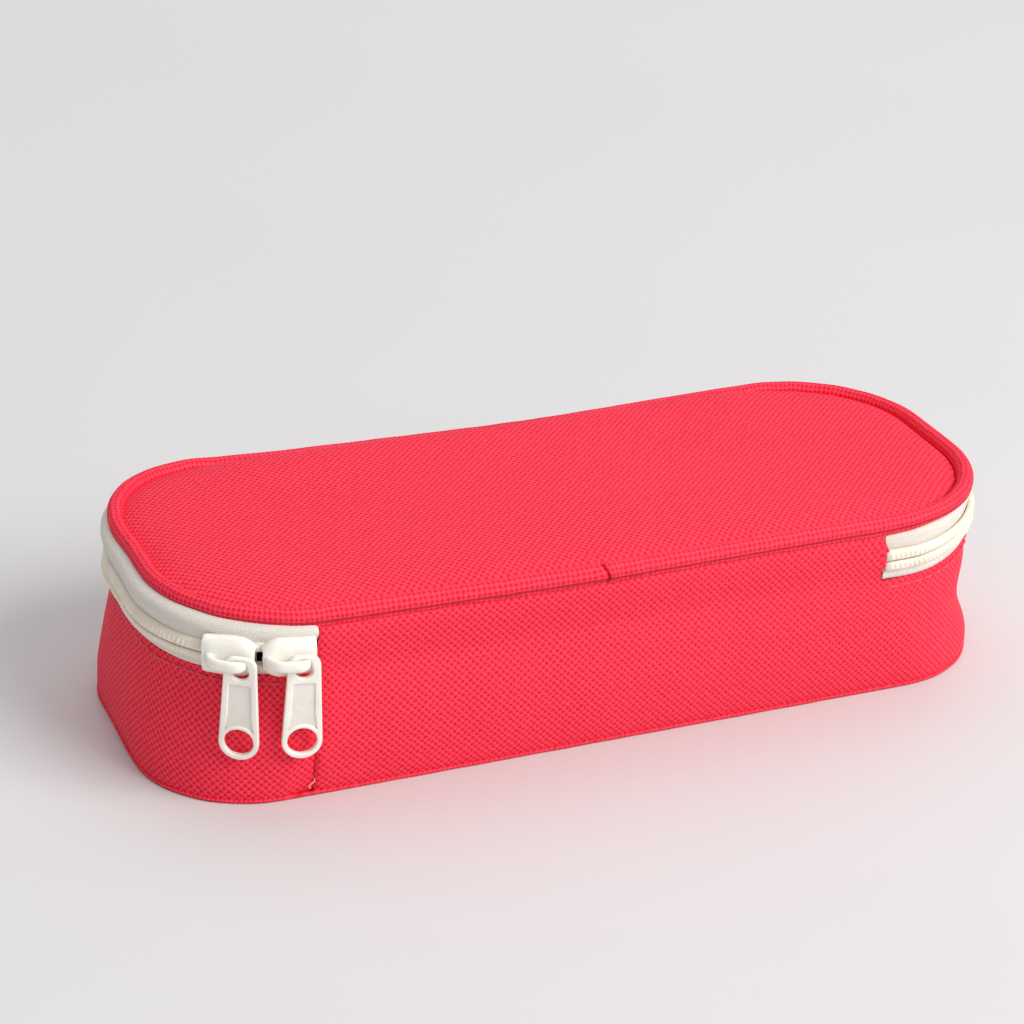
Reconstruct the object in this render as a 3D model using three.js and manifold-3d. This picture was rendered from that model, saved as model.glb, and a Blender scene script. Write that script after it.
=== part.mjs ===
// A soft zip pencil case, in millimetres, with +Z up. X runs along its length, the fabric hinge of
// the lid is on the -Y side, and the origin is under the middle of the case, where it stands.
import * as THREE from 'three';
import { mergeVertices } from 'three/addons/utils/BufferGeometryUtils.js';
import Module from 'manifold-3d';

const wasm = await Module();
wasm.setup();

// The whole case
const LENGTH = 210; // over the piping
const WIDTH = 82.8; // over the piping
const HEIGHT = 46.2; // to the top of the piping
const GAP = 0.3; // between pieces that touch

// The outline of the walls, seen from above. The corners are tighter at the floor than at the zip.
const PIPING_PROUD = 0.8; // how far the piping stands out from the walls
const HALF_LENGTH = LENGTH / 2 - PIPING_PROUD;
const HALF_WIDTH = WIDTH / 2 - PIPING_PROUD;
const TOP_CORNER = 32.6;
const FLOOR_CORNER = 27;
const CORNER_STEPS = 8;

// Fabric, padding and tape
const SKIN = 0.7; // outer fabric
const FOAM = 2.6; // padding of the walls
const LINING = 0.6;
const BINDING = 1.2; // thickness of the tapes that bind the raw seams
const BASE_BINDING_WIDTH = 3;
const UPRIGHT_BINDING_WIDTH = 8;
const BOARD = 2; // stiffener in the base
const LID_FOAM = 2.5;
const SLIDER_ROOM = 2; // behind the zip's tape, where a slider's back plate passes

// Heights
const WALL_TOP = 31; // where the outer fabric ends and the zip shows
const ZIP_MIDDLE = 36.15; // where the two rows of coil meet
const HINGE_LINING_TOP = 37.5; // under the lid's bound seam
const LID_UNDERSIDE = 41;

// The hinge, between the two ends of the zip
const PANEL_LEFT = -71;
const PANEL_RIGHT = 67.5;

// Piping
const PIPING_RADIUS = 2;
const PIPING_CORD_RADIUS = 1;
const PIPING_WALL = 0.7;
const PIPING_JOIN = -4; // where the piping's two ends meet
const PIPING_SIDES = 12;

// Zip
const TAPE = 0.6;
const TAPE_RECESS = 1; // the tape lies this far in from the face of the walls
const TAPE_HIDDEN = 6; // width of tape sewn in behind the wall's edge
const COIL_ROW = 2.4; // height of one row of coil
const COIL_INNER = -SKIN; // the coil's inner and outer faces, out from the wall's face
const COIL_OUTER = 0.8;
const PARTED_LENGTH = 12.6; // the opening between the rows, from wedge to wedge
const PARTED_HEIGHT = 2.9;

// Zip sliders, measured along the zip (length), up (height) and out from the wall (reach)
const SLIDER_LENGTH = 12; // at its outer face
const SLIDER_HEAD_HEIGHT = 9.4;
const SLIDER_TAIL_HEIGHT = 7.6;
const SLIDER_INNER = -3.4;
const SLIDER_OUTER = 2.5;
const SLIDER_SHOULDER = 3.2; // from the tip of the head to its full height
const CHANNEL_HEIGHT = 6;
const CHANNEL_TURN = 32; // degrees of the corner that the cut through the slider spans
const CHANNEL_STEPS = 8;
const WEDGE_LENGTH = 3.6;
const WEDGE_HEIGHT = 1.5;
const WEDGE_AHEAD = 3.1; // from the slider's middle to its wedge
const ROOT = 0.4; // how deep the wedge and the bridge are set into the plates
const BRIDGE_REACH = 6.3;
const BRIDGE_THICKNESS = 1.3;
const BRIDGE_HEIGHT = 2.6;
const POST_RADIUS = 0.95;
const POST_ALONG = 3; // from the slider's middle to the post that the pull hangs on
const POST_DROP = 0.1; // from the middle of the zip down to the post
const BRIDGE_FOOT_ALONG = -3.4;
const RIGHT_SLIDER_TURN = 9.5; // degrees round the front-left corner
const LEFT_SLIDER_TURN = 30.9;

// Pulls
const PULL_THICKNESS = 1.3;
const PULL_INNER = 3.1; // from the wall's face to the back of the pull
const PULL_RING_RADIUS = 1.7; // of the ring's long opening, which runs down from the post
const PULL_RING_TOP = 0.4; // from the post down to the upper round end's middle
const PULL_RING_BOTTOM = 1.95; // and to the lower round end's middle
const PULL_TOP_WIDTH = 7.1;
const PULL_TOP_CORNER = 2.3;
const PULL_RISE = 2.1; // from the post up to the pull's top edge
const PULL_END_WIDTH = 8.9;
const PULL_LENGTH = 26;
const PULL_HOLE_RADIUS = 3.25;
const PULL_LEAN = 2.5; // degrees towards the wall
const RIGHT_PULL_TILT = -1.4; // degrees off the upright, with the end to the left
const LEFT_PULL_TILT = -2.3;

const degrees = THREE.MathUtils.degToRad;

const fabric = (color) => new THREE.MeshStandardMaterial({ color, roughness: 0.9, metalness: 0 });
const foam = () => new THREE.MeshStandardMaterial({ color: 0xe9e6df, roughness: 1, metalness: 0 });
const enamel = () => new THREE.MeshStandardMaterial({ color: 0xece6d6, roughness: 0.3, metalness: 0.1 });
const RED = 0xe02a48;
const LINING_RED = 0xc93850;
const IVORY = 0xefe9dc;

const pencilCase = new THREE.Group();

function add(name, geometry, material) {
  const mesh = new THREE.Mesh(geometry, material);
  mesh.name = name;
  pencilCase.add(mesh);
}

// ---- The outline ----

// The corner radius of the walls at a height: it grows up to the wall's top edge, then stays.
function cornerRadius(height) {
  return THREE.MathUtils.lerp(FLOOR_CORNER, TOP_CORNER, THREE.MathUtils.clamp(height / WALL_TOP, 0, 1));
}

// A station is a place on the outline: for a corner radius it gives the point on the wall's face
// and the direction in which the wall faces there.
const onFront = (x) => () => ({ x, y: -HALF_WIDTH, facing: -Math.PI / 2 });

const onCorner = (sideX, sideY, facing) => (radius) => ({
  x: sideX * (HALF_LENGTH - radius) + radius * Math.cos(facing),
  y: sideY * (HALF_WIDTH - radius) + radius * Math.sin(facing),
  facing,
});

// Stations from the front, clockwise by the left end, the back and the right end, to the front.
function wayRound(startX, endX) {
  const corners = [[-1, -1], [-1, 1], [1, 1], [1, -1]];
  const stations = [onFront(startX)];
  corners.forEach(([sideX, sideY], corner) => {
    for (let step = 0; step <= CORNER_STEPS; step += 1) {
      const facing = -(Math.PI / 2) * (1 + corner + step / CORNER_STEPS);
      stations.push(onCorner(sideX, sideY, facing));
    }
  });
  stations.push(onFront(endX));
  return stations;
}

const AROUND_ZIP = wayRound(PANEL_LEFT - GAP / 2, PANEL_RIGHT + GAP / 2);
const ALONG_PANEL = [onFront(PANEL_RIGHT - GAP / 2), onFront(PANEL_LEFT + GAP / 2)];
const ALL_ROUND = wayRound(PIPING_JOIN - GAP, PIPING_JOIN + GAP);

// Extrudes a section along the stations. The section's x is the distance out from the wall's
// face and its y is the height.
function strip(stations, section) {
  const steps = stations.length - 1;
  const geometry = new THREE.ExtrudeGeometry(section, {
    depth: steps,
    steps,
    curveSegments: PIPING_SIDES / 2,
    bevelEnabled: false,
  });
  const position = geometry.attributes.position;
  for (let i = 0; i < position.count; i += 1) {
    const out = position.getX(i);
    const height = position.getY(i);
    const at = stations[Math.round(position.getZ(i))](cornerRadius(height));
    position.setXYZ(i, at.x + out * Math.cos(at.facing), at.y + out * Math.sin(at.facing), height);
  }
  return geometry;
}

// A closed section from (out, height) corners, with a corner added where an upright edge passes
// the wall's top, because the corners of the case stop opening out there.
function section(...corners) {
  const points = [];
  corners.forEach(([out, height], i) => {
    const [nextOut, nextHeight] = corners[(i + 1) % corners.length];
    points.push(new THREE.Vector2(out, height));
    if ((height - WALL_TOP) * (nextHeight - WALL_TOP) < 0) {
      const share = (WALL_TOP - height) / (nextHeight - height);
      points.push(new THREE.Vector2(THREE.MathUtils.lerp(out, nextOut, share), WALL_TOP));
    }
  });
  return new THREE.Shape(points);
}

const slab = (inner, outer, bottom, top) => section(
  [inner, bottom],
  [outer, bottom],
  [outer, top],
  [inner, top],
);

// A flat sheet of the case's outline, drawn in from the wall's face by inset.
function sheet(inset, bottom, top) {
  const radius = cornerRadius(bottom);
  const outline = wayRound(0, 0).slice(1, -1).map((station) => {
    const at = station(radius);
    return new THREE.Vector2(at.x - inset * Math.cos(at.facing), at.y - inset * Math.sin(at.facing));
  });
  const geometry = new THREE.ExtrudeGeometry(new THREE.Shape(outline), {
    depth: top - bottom,
    bevelEnabled: false,
  });
  return geometry.translate(0, 0, bottom);
}

// ---- Joining and cutting solids ----

function solid(geometry) {
  const bare = geometry.clone();
  bare.deleteAttribute('normal');
  bare.deleteAttribute('uv');
  const merged = mergeVertices(bare, 1e-4);
  return new wasm.Manifold(new wasm.Mesh({
    numProp: 3,
    vertProperties: new Float32Array(merged.attributes.position.array),
    triVerts: new Uint32Array(merged.index.array),
  }));
}

function toGeometry(manifold) {
  const mesh = manifold.getMesh();
  const geometry = new THREE.BufferGeometry();
  geometry.setAttribute('position', new THREE.BufferAttribute(mesh.vertProperties, 3));
  geometry.setIndex(new THREE.BufferAttribute(mesh.triVerts, 1));
  geometry.computeVertexNormals();
  return geometry;
}

// ---- Walls ----

// Distances in from the wall's face, as negative numbers going inwards
const skinInner = -SKIN;
const foamOuter = skinInner - GAP;
const foamInner = foamOuter - FOAM;
const tapeOuter = -TAPE_RECESS;
const tapeInner = tapeOuter - TAPE;
const liningOuter = foamInner - GAP;
const liningInner = liningOuter - LINING;
const bindingOuter = liningInner - GAP;

// Heights of the layers of the base, going up
const boardBottom = SKIN + GAP;
const baseLiningBottom = boardBottom + BOARD + GAP;
const wallLiningBottom = baseLiningBottom + LINING + GAP;
const tapeBottom = WALL_TOP - TAPE_HIDDEN;
const wallLayersTop = WALL_TOP - GAP;

function walls() {
  // The outer fabric is one strip with one upright seam, and it is taller along the hinge.
  const panelTop = HEIGHT - 2 * PIPING_RADIUS - GAP;
  const panel = strip(ALONG_PANEL, slab(skinInner, 0, boardBottom, panelTop));
  const pastThePanel = wayRound(PANEL_LEFT - GAP / 2, PANEL_RIGHT - SKIN);
  const rest = strip(pastThePanel, slab(skinInner, 0, boardBottom, WALL_TOP));
  add('wall_fabric', toGeometry(solid(panel).add(solid(rest))), fabric(RED));

  // The wall's padding is thinned where the zip's tape is sewn in behind the outer fabric.
  const paddingStep = tapeBottom - GAP;
  const padding = section(
    [foamInner, baseLiningBottom],
    [foamOuter, baseLiningBottom],
    [foamOuter, paddingStep],
    [tapeInner - GAP, paddingStep],
    [tapeInner - GAP, wallLayersTop],
    [foamInner, wallLayersTop],
  );
  add('side_foam', strip(AROUND_ZIP, padding), foam());
  const hingePadding = slab(foamInner, foamOuter, baseLiningBottom, LID_UNDERSIDE + LINING);
  add('hinge_foam', strip(ALONG_PANEL, hingePadding), foam());

  const sideLining = slab(liningInner, liningOuter, wallLiningBottom, wallLayersTop);
  add('side_lining', strip(AROUND_ZIP, sideLining), fabric(LINING_RED));
  const hingeLining = slab(liningInner, liningOuter, wallLiningBottom, HINGE_LINING_TOP);
  add('hinge_lining', strip(ALONG_PANEL, hingeLining), fabric(LINING_RED));
}

// ---- Base ----

function base() {
  add('bottom_panel', sheet(0, 0, SKIN), fabric(RED));
  add('bottom_board', sheet(-foamOuter, boardBottom, boardBottom + BOARD), foam());
  const liningTop = baseLiningBottom + LINING;
  add('bottom_lining', sheet(-liningOuter, baseLiningBottom, liningTop), fabric(LINING_RED));
  const binding = slab(
    bindingOuter - BINDING,
    bindingOuter,
    wallLiningBottom,
    wallLiningBottom + BASE_BINDING_WIDTH,
  );
  add('bottom_seam_binding', strip(ALL_ROUND, binding), fabric(LINING_RED));

  // Tapes over the two upright seams of the lining, at the ends of the hinge
  const halfTape = UPRIGHT_BINDING_WIDTH / 2;
  const uprightBottom = wallLiningBottom + BASE_BINDING_WIDTH + GAP;
  for (const [name, seam] of [['left', PANEL_LEFT], ['right', PANEL_RIGHT]]) {
    const stations = [onFront(seam + halfTape), onFront(seam - halfTape)];
    const upright = slab(bindingOuter - BINDING, bindingOuter, uprightBottom, wallLayersTop);
    add(`${name}_seam_binding`, strip(stations, upright), fabric(LINING_RED));
  }
}

// ---- Lid ----

function lid() {
  const pipingOut = PIPING_PROUD - PIPING_RADIUS;
  const pipingHeight = HEIGHT - PIPING_RADIUS;
  const cover = new THREE.Shape();
  cover.absarc(pipingOut, pipingHeight, PIPING_RADIUS, 0, 2 * Math.PI);
  const bore = new THREE.Path();
  bore.absarc(pipingOut, pipingHeight, PIPING_RADIUS - PIPING_WALL, 0, 2 * Math.PI, true);
  cover.holes.push(bore);
  add('lid_piping', strip(ALL_ROUND, cover), fabric(RED));

  const cord = new THREE.Shape();
  cord.absarc(pipingOut, pipingHeight, PIPING_CORD_RADIUS, 0, 2 * Math.PI);
  add('lid_piping_cord', strip(ALL_ROUND, cord), fabric(IVORY));

  const inset = 2 * PIPING_RADIUS - PIPING_PROUD + GAP;
  const liningTop = LID_UNDERSIDE + LINING;
  const foamTop = liningTop + GAP + LID_FOAM;
  add('lid_lining', sheet(-bindingOuter + BINDING + GAP, LID_UNDERSIDE, liningTop), fabric(LINING_RED));
  add('lid_foam', sheet(inset, liningTop + GAP, foamTop), foam());
  add('lid_panel', sheet(inset, foamTop + GAP, foamTop + GAP + SKIN), fabric(RED));

  const bindingOut = tapeInner - GAP - SLIDER_ROOM;
  const bindingBottom = HINGE_LINING_TOP + 2 * GAP;
  const binding = slab(bindingOut - BINDING, bindingOut, bindingBottom, liningTop);
  add('lid_seam_binding', strip(ALL_ROUND, binding), fabric(LINING_RED));
}

// ---- Zip ----

// A solid drawn on the wall at the front-left corner, turned to its place on the corner's arc.
// It is drawn with x along the zip, y up and z out from the wall's face.
const cornerCentre = new THREE.Vector3(TOP_CORNER - HALF_LENGTH, TOP_CORNER - HALF_WIDTH, 0);

function onTheArc(geometry) {
  return geometry.rotateX(Math.PI / 2).translate(0, -TOP_CORNER, 0);
}

function turned(geometry, turn) {
  geometry.rotateZ(-degrees(turn));
  return geometry.translate(cornerCentre.x, cornerCentre.y, cornerCentre.z);
}

// A lens that tapers to a point at both ends, used for the wedge that parts the two rows.
function lens(length, height, depth) {
  const shape = new THREE.Shape();
  shape.moveTo(-length / 2, 0);
  shape.quadraticCurveTo(0, -height, length / 2, 0);
  shape.quadraticCurveTo(0, height, -length / 2, 0);
  return new THREE.ExtrudeGeometry(shape, { depth, curveSegments: 6, bevelEnabled: false });
}

// The rows and the tapes' edges stand apart between the wedges of the two sliders.
function partedRows() {
  const middleTurn = (LEFT_SLIDER_TURN + RIGHT_SLIDER_TURN) / 2;
  const opening = lens(PARTED_LENGTH, PARTED_HEIGHT, COIL_OUTER - SLIDER_INNER);
  opening.translate(0, ZIP_MIDDLE, SLIDER_INNER);
  return solid(turned(onTheArc(opening), middleTurn));
}

function zip() {
  const parted = partedRows();
  const halfGap = GAP / 2;
  const upperTapeTop = HEIGHT - 2 * PIPING_RADIUS - GAP;
  const halves = [
    ['lower', tapeBottom, ZIP_MIDDLE - halfGap, ZIP_MIDDLE - halfGap - COIL_ROW, ZIP_MIDDLE - halfGap],
    ['upper', ZIP_MIDDLE + halfGap, upperTapeTop, ZIP_MIDDLE + halfGap, ZIP_MIDDLE + halfGap + COIL_ROW],
  ];
  for (const [name, low, high, coilLow, coilHigh] of halves) {
    const tape = solid(strip(AROUND_ZIP, slab(tapeInner, tapeOuter, low, high)));
    add(`zip_tape_${name}`, toGeometry(tape.subtract(parted)), fabric(IVORY));
    const coil = solid(strip(AROUND_ZIP, slab(COIL_INNER, COIL_OUTER, coilLow, coilHigh)));
    add(`zip_coil_${name}`, toGeometry(coil.subtract(parted)), fabric(IVORY));
  }
}

// ---- Sliders and pulls ----

// The plate of a slider whose rounded head is towards -x and whose square tail is towards +x.
function sliderOutline() {
  const tail = SLIDER_LENGTH / 2;
  const head = SLIDER_HEAD_HEIGHT / 2;
  const shoulder = SLIDER_SHOULDER - tail;
  const nose = SLIDER_HEAD_HEIGHT / 4;
  const shape = new THREE.Shape();
  shape.moveTo(tail, -SLIDER_TAIL_HEIGHT / 2);
  shape.lineTo(tail, SLIDER_TAIL_HEIGHT / 2);
  shape.lineTo(shoulder, head);
  shape.quadraticCurveTo(-tail, head, -tail, nose);
  shape.lineTo(-tail, -nose);
  shape.quadraticCurveTo(-tail, -head, shoulder, -head);
  return shape;
}

// The way through a slider for the coil and the tapes, curved like the corner.
function sliderChannel() {
  const halfChannel = CHANNEL_HEIGHT / 2;
  const slotInner = tapeInner - GAP;
  const slotOuter = tapeOuter + GAP;
  const reach = SLIDER_HEAD_HEIGHT;
  const coilRoom = COIL_OUTER + GAP;
  const shape = section(
    [slotInner, ZIP_MIDDLE - reach],
    [slotOuter, ZIP_MIDDLE - reach],
    [slotOuter, ZIP_MIDDLE - halfChannel],
    [coilRoom, ZIP_MIDDLE - halfChannel],
    [coilRoom, ZIP_MIDDLE + halfChannel],
    [slotOuter, ZIP_MIDDLE + halfChannel],
    [slotOuter, ZIP_MIDDLE + reach],
    [slotInner, ZIP_MIDDLE + reach],
  );
  const stations = [];
  for (let step = 0; step <= CHANNEL_STEPS; step += 1) {
    const facing = -Math.PI / 2 + degrees(CHANNEL_TURN) * (0.5 - step / CHANNEL_STEPS);
    stations.push(() => ({
      x: TOP_CORNER * Math.cos(facing),
      y: TOP_CORNER * Math.sin(facing),
      facing,
    }));
  }
  return solid(strip(stations, shape));
}

// The bridge: a foot, an arm along the zip, and the post that the pull hangs on.
function sliderBridge() {
  const height = ZIP_MIDDLE - POST_DROP;
  const root = SLIDER_OUTER - ROOT;
  const armLength = POST_ALONG - BRIDGE_FOOT_ALONG;
  const post = new THREE.CylinderGeometry(POST_RADIUS, POST_RADIUS, BRIDGE_REACH - root, 12);
  post.rotateX(Math.PI / 2).translate(POST_ALONG, height, (BRIDGE_REACH + root) / 2);
  const arm = new THREE.Shape();
  arm.absarc(armLength, 0, BRIDGE_HEIGHT / 2, -Math.PI / 2, Math.PI / 2);
  arm.absarc(0, 0, BRIDGE_HEIGHT / 2, Math.PI / 2, 1.5 * Math.PI);
  const armSolid = new THREE.ExtrudeGeometry(arm, {
    depth: BRIDGE_THICKNESS,
    curveSegments: 8,
    bevelEnabled: false,
  }).translate(BRIDGE_FOOT_ALONG, height, BRIDGE_REACH - BRIDGE_THICKNESS);
  const foot = new THREE.CylinderGeometry(BRIDGE_HEIGHT / 2, BRIDGE_HEIGHT / 2, BRIDGE_REACH - root, 12);
  foot.rotateX(Math.PI / 2).translate(BRIDGE_FOOT_ALONG, height, (BRIDGE_REACH + root) / 2);
  return solid(onTheArc(post)).add(solid(onTheArc(armSolid))).add(solid(onTheArc(foot)));
}

function sliderBody(headSide) {
  const plate = new THREE.ExtrudeGeometry(sliderOutline(), {
    depth: SLIDER_OUTER - SLIDER_INNER,
    curveSegments: 6,
    bevelEnabled: false,
  }).translate(0, ZIP_MIDDLE, SLIDER_INNER);
  const wedge = lens(WEDGE_LENGTH, WEDGE_HEIGHT, SLIDER_OUTER - SLIDER_INNER - 2 * ROOT);
  wedge.translate(-WEDGE_AHEAD, ZIP_MIDDLE, SLIDER_INNER + ROOT);
  if (headSide > 0) {
    plate.rotateY(Math.PI).translate(0, 0, SLIDER_OUTER + SLIDER_INNER);
    wedge.translate(2 * WEDGE_AHEAD, 0, 0);
  }
  // The plate's ends point to the middle of the corner, so the inner face is the shorter one.
  const position = plate.attributes.position;
  for (let i = 0; i < position.count; i += 1) {
    const share = (TOP_CORNER + position.getZ(i)) / (TOP_CORNER + SLIDER_OUTER);
    position.setX(i, position.getX(i) * share);
  }
  return solid(onTheArc(plate))
    .subtract(sliderChannel())
    .add(solid(onTheArc(wedge)))
    .add(sliderBridge());
}

// A pull hangs from the slider's post, which is the origin of this outline.
function pullOutline() {
  const endRadius = PULL_END_WIDTH / 2;
  const halfTop = PULL_TOP_WIDTH / 2;
  const shoulder = PULL_RISE - PULL_TOP_CORNER;
  const endDrop = PULL_LENGTH - PULL_RISE - endRadius;
  const shape = new THREE.Shape();
  shape.absarc(halfTop - PULL_TOP_CORNER, shoulder, PULL_TOP_CORNER, 0, Math.PI / 2);
  shape.absarc(PULL_TOP_CORNER - halfTop, shoulder, PULL_TOP_CORNER, Math.PI / 2, Math.PI);
  shape.lineTo(-endRadius, -endDrop);
  shape.absarc(0, -endDrop, endRadius, Math.PI, 2 * Math.PI);
  const ring = new THREE.Path();
  ring.absarc(0, -PULL_RING_TOP, PULL_RING_RADIUS, Math.PI, 0, true);
  ring.absarc(0, -PULL_RING_BOTTOM, PULL_RING_RADIUS, 0, Math.PI, true);
  const hole = new THREE.Path();
  hole.absarc(0, -endDrop, PULL_HOLE_RADIUS, 0, 2 * Math.PI, true);
  shape.holes.push(ring, hole);
  return shape;
}

function pull(tilt) {
  const geometry = new THREE.ExtrudeGeometry(pullOutline(), {
    depth: PULL_THICKNESS,
    curveSegments: 10,
    bevelEnabled: false,
  });
  geometry.translate(0, 0, -PULL_THICKNESS / 2);
  geometry.rotateZ(degrees(tilt)).rotateX(-degrees(PULL_LEAN));
  geometry.translate(POST_ALONG, ZIP_MIDDLE - POST_DROP, PULL_INNER + PULL_THICKNESS / 2);
  return onTheArc(geometry);
}

function sliders() {
  const places = [
    ['left', LEFT_SLIDER_TURN, 1, LEFT_PULL_TILT],
    ['right', RIGHT_SLIDER_TURN, -1, RIGHT_PULL_TILT],
  ];
  for (const [name, turn, headSide, tilt] of places) {
    const body = toGeometry(sliderBody(headSide));
    add(`${name}_slider_body`, turned(body, turn), enamel());
    add(`${name}_pull`, turned(pull(tilt), turn), enamel());
  }
}

walls();
base();
lid();
zip();
sliders();

export default pencilCase;
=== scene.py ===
"""A soft zip pencil case: fabric walls, pillowy lid, piping, zip, two sliders with pulls.

Lengths are in millimetres until a mesh is made. On the walls, t runs clockwise round the case
from the piping's join, n is the distance out from the wall's face and z is the height.
"""
import math
from contextlib import contextmanager

import bmesh
import bpy
import numpy as np
from mathutils import Matrix, Vector


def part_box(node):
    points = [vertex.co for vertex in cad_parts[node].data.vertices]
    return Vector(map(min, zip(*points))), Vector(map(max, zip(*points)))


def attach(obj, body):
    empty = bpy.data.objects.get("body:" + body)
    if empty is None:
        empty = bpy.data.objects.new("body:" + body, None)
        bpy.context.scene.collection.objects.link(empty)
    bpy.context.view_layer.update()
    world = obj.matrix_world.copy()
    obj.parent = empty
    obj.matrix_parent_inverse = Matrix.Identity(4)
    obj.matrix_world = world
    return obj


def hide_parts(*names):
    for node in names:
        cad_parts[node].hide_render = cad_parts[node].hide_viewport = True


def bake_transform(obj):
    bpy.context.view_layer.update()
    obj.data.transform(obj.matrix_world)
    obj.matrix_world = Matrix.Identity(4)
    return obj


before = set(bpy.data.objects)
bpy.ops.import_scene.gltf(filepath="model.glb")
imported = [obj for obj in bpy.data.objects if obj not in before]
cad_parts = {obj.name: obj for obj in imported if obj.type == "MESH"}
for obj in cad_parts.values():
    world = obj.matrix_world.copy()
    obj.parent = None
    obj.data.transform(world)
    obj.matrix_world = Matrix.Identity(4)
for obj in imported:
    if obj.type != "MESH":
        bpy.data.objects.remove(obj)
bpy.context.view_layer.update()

MM = 0.001


def box_mm(node):
    low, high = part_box(node)
    return np.array(low) / MM, np.array(high) / MM


# ---- The case's measures ----

WALL_BOX = box_mm("wall_fabric")
HALF_LENGTH, HALF_WIDTH, HINGE_TOP = WALL_BOX[1]
WALL_TOP = box_mm("side_lining")[1][2] + 0.3
PIPING_BOX = box_mm("lid_piping")
PIPING_RADIUS = 2.0
PIPING_TOP = PIPING_BOX[1][2]
PIPING_Z = PIPING_TOP - PIPING_RADIUS
PIPING_N = PIPING_BOX[1][0] - HALF_LENGTH - PIPING_RADIUS
ZIP_MIDDLE = (box_mm("zip_coil_lower")[1][2] + box_mm("zip_coil_upper")[0][2]) / 2
TOP_CORNER = 32.6
FLOOR_CORNER = 27.0
JOIN_X = -4.0
SEAM_X = -71.0
ZIP_END_X = 67.5
YARN = 0.87  # distance between two yarns of the shell's weave
YARN_DRIFT = 0.96  # how far the yarns wander, in yarns

QUARTER = TOP_CORNER * math.pi / 2
STRAIGHT_X = HALF_LENGTH - TOP_CORNER
STRAIGHT_Y = HALF_WIDTH - TOP_CORNER

# The outline's knots, clockwise from the join: the corner circles' centre is at
# (fixed_x + side_x * (HALF_LENGTH - radius), side_y * (HALF_WIDTH - radius)).
KNOTS = np.array([
    # length, fixed_x, side_x, side_y, facing
    (0, JOIN_X, 0, -1, -90),
    (JOIN_X - SEAM_X, SEAM_X, 0, -1, -90),
    (STRAIGHT_X + SEAM_X, 0, -1, -1, -90),
    (QUARTER, 0, -1, -1, -180),
    (2 * STRAIGHT_Y, 0, -1, 1, -180),
    (QUARTER, 0, -1, 1, -270),
    (2 * STRAIGHT_X, 0, 1, 1, -270),
    (QUARTER, 0, 1, 1, -360),
    (2 * STRAIGHT_Y, 0, 1, -1, -360),
    (QUARTER, 0, 1, -1, -450),
    (STRAIGHT_X - ZIP_END_X, ZIP_END_X, 0, -1, -450),
    (ZIP_END_X - JOIN_X, JOIN_X, 0, -1, -450),
])
KNOT_T = np.cumsum(KNOTS[:, 0])
LAP = KNOT_T[-1]
T_SEAM = KNOT_T[1]
T_ZIP_END = KNOT_T[10]
T_LEFT = (KNOT_T[3] + KNOT_T[4]) / 2
T_BACK = (KNOT_T[5] + KNOT_T[6]) / 2
T_RIGHT = (KNOT_T[7] + KNOT_T[8]) / 2


def smooth(x, low, high):
    s = np.clip((np.asarray(x, float) - low) / (high - low), 0, 1)
    return s * s * (3 - 2 * s)


def bump(x, centre, width):
    return np.exp(-(((np.asarray(x, float) - centre) / width) ** 2))


def around(t, centre, width):
    """A bump on the lap round the case."""
    gap = (np.asarray(t, float) - centre + LAP / 2) % LAP - LAP / 2
    return np.exp(-((gap / width) ** 2))


def ripple(t, waves, seed):
    """A smooth irregular wave round the lap, between about -1 and 1."""
    rng = np.random.default_rng(seed)
    total = 0
    for _ in range(5):
        cycles = rng.integers(waves // 2, waves + 1)
        total = total + np.sin(2 * math.pi * cycles * np.asarray(t) / LAP + rng.uniform(0, 6.28))
    return total / 3


# How far the left end has moved along x, at heights
LEFT_GIVE = ([0, 8, 16, 24, 31, 36, 43.5], [-0.9, -0.5, 0.7, 1.5, 1.9, 1.0, 3.6])


def settle(points):
    """The soft case isn't true: its ends and its lid have given a little."""
    points = np.array(points, float)
    x, y, z = points[..., 0], points[..., 1], points[..., 2]
    lid = smooth(z, 37, 43.5)
    left = smooth(-x, 52, 104)
    right = smooth(x, 52, 104)
    back_left = left * smooth(y, 0, 34)
    front_left = left * smooth(-y, 0, 34)
    back = smooth(y, 10, 40)
    front = smooth(-y, 10, 40)
    zip_band = smooth(z, 18, 31) * (1 - smooth(z, 36.5, 42))
    sag = 1.4 * smooth(x, 50, 66) * (1 - smooth(x, 76, 100)) * smooth(-y, 10, 30) * zip_band
    dip = 0.9 * left * bump(z, 36.5, 3)
    moved = points.copy()
    moved[..., 0] += left * np.interp(z, *LEFT_GIVE) - 0.9 * right * lid - 2.6 * back_left * lid
    moved[..., 1] += 0.9 * back_left * lid + 0.7 * front_left * lid
    droop = 1.2 * back * bump(x, 8, 66) + 0.6 * front * bump(x, -5, 45)
    moved[..., 2] += lid * (1.3 * back_left - droop) - sag - dip
    return moved


def outline(t, radius):
    """The outline's centres of curvature, x and y, and the direction it faces, at t."""
    t = np.asarray(t, float) % LAP
    fixed_x, side_x, side_y, facing = (np.interp(t, KNOT_T, KNOTS[:, i]) for i in (1, 2, 3, 4))
    centre_x = fixed_x + side_x * (HALF_LENGTH - radius)
    return centre_x, side_y * (HALF_WIDTH - radius), np.radians(facing)


def place(t, n, z):
    """Points on the walls from t, n and z."""
    t, n, z = np.broadcast_arrays(*(np.asarray(v, float) for v in (t, n, z)))
    radius = FLOOR_CORNER + (TOP_CORNER - FLOOR_CORNER) * np.clip(z / WALL_TOP, 0, 1)
    centre_x, centre_y, facing = outline(t, radius)
    reach = radius + n
    x, y = centre_x + reach * np.cos(facing), centre_y + reach * np.sin(facing)
    return np.stack([x, y, z], axis=-1)


# ---- Meshes ----

SHARP_EDGE = math.radians(50)
SHARP_CASTING_EDGE = math.radians(38)


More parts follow.
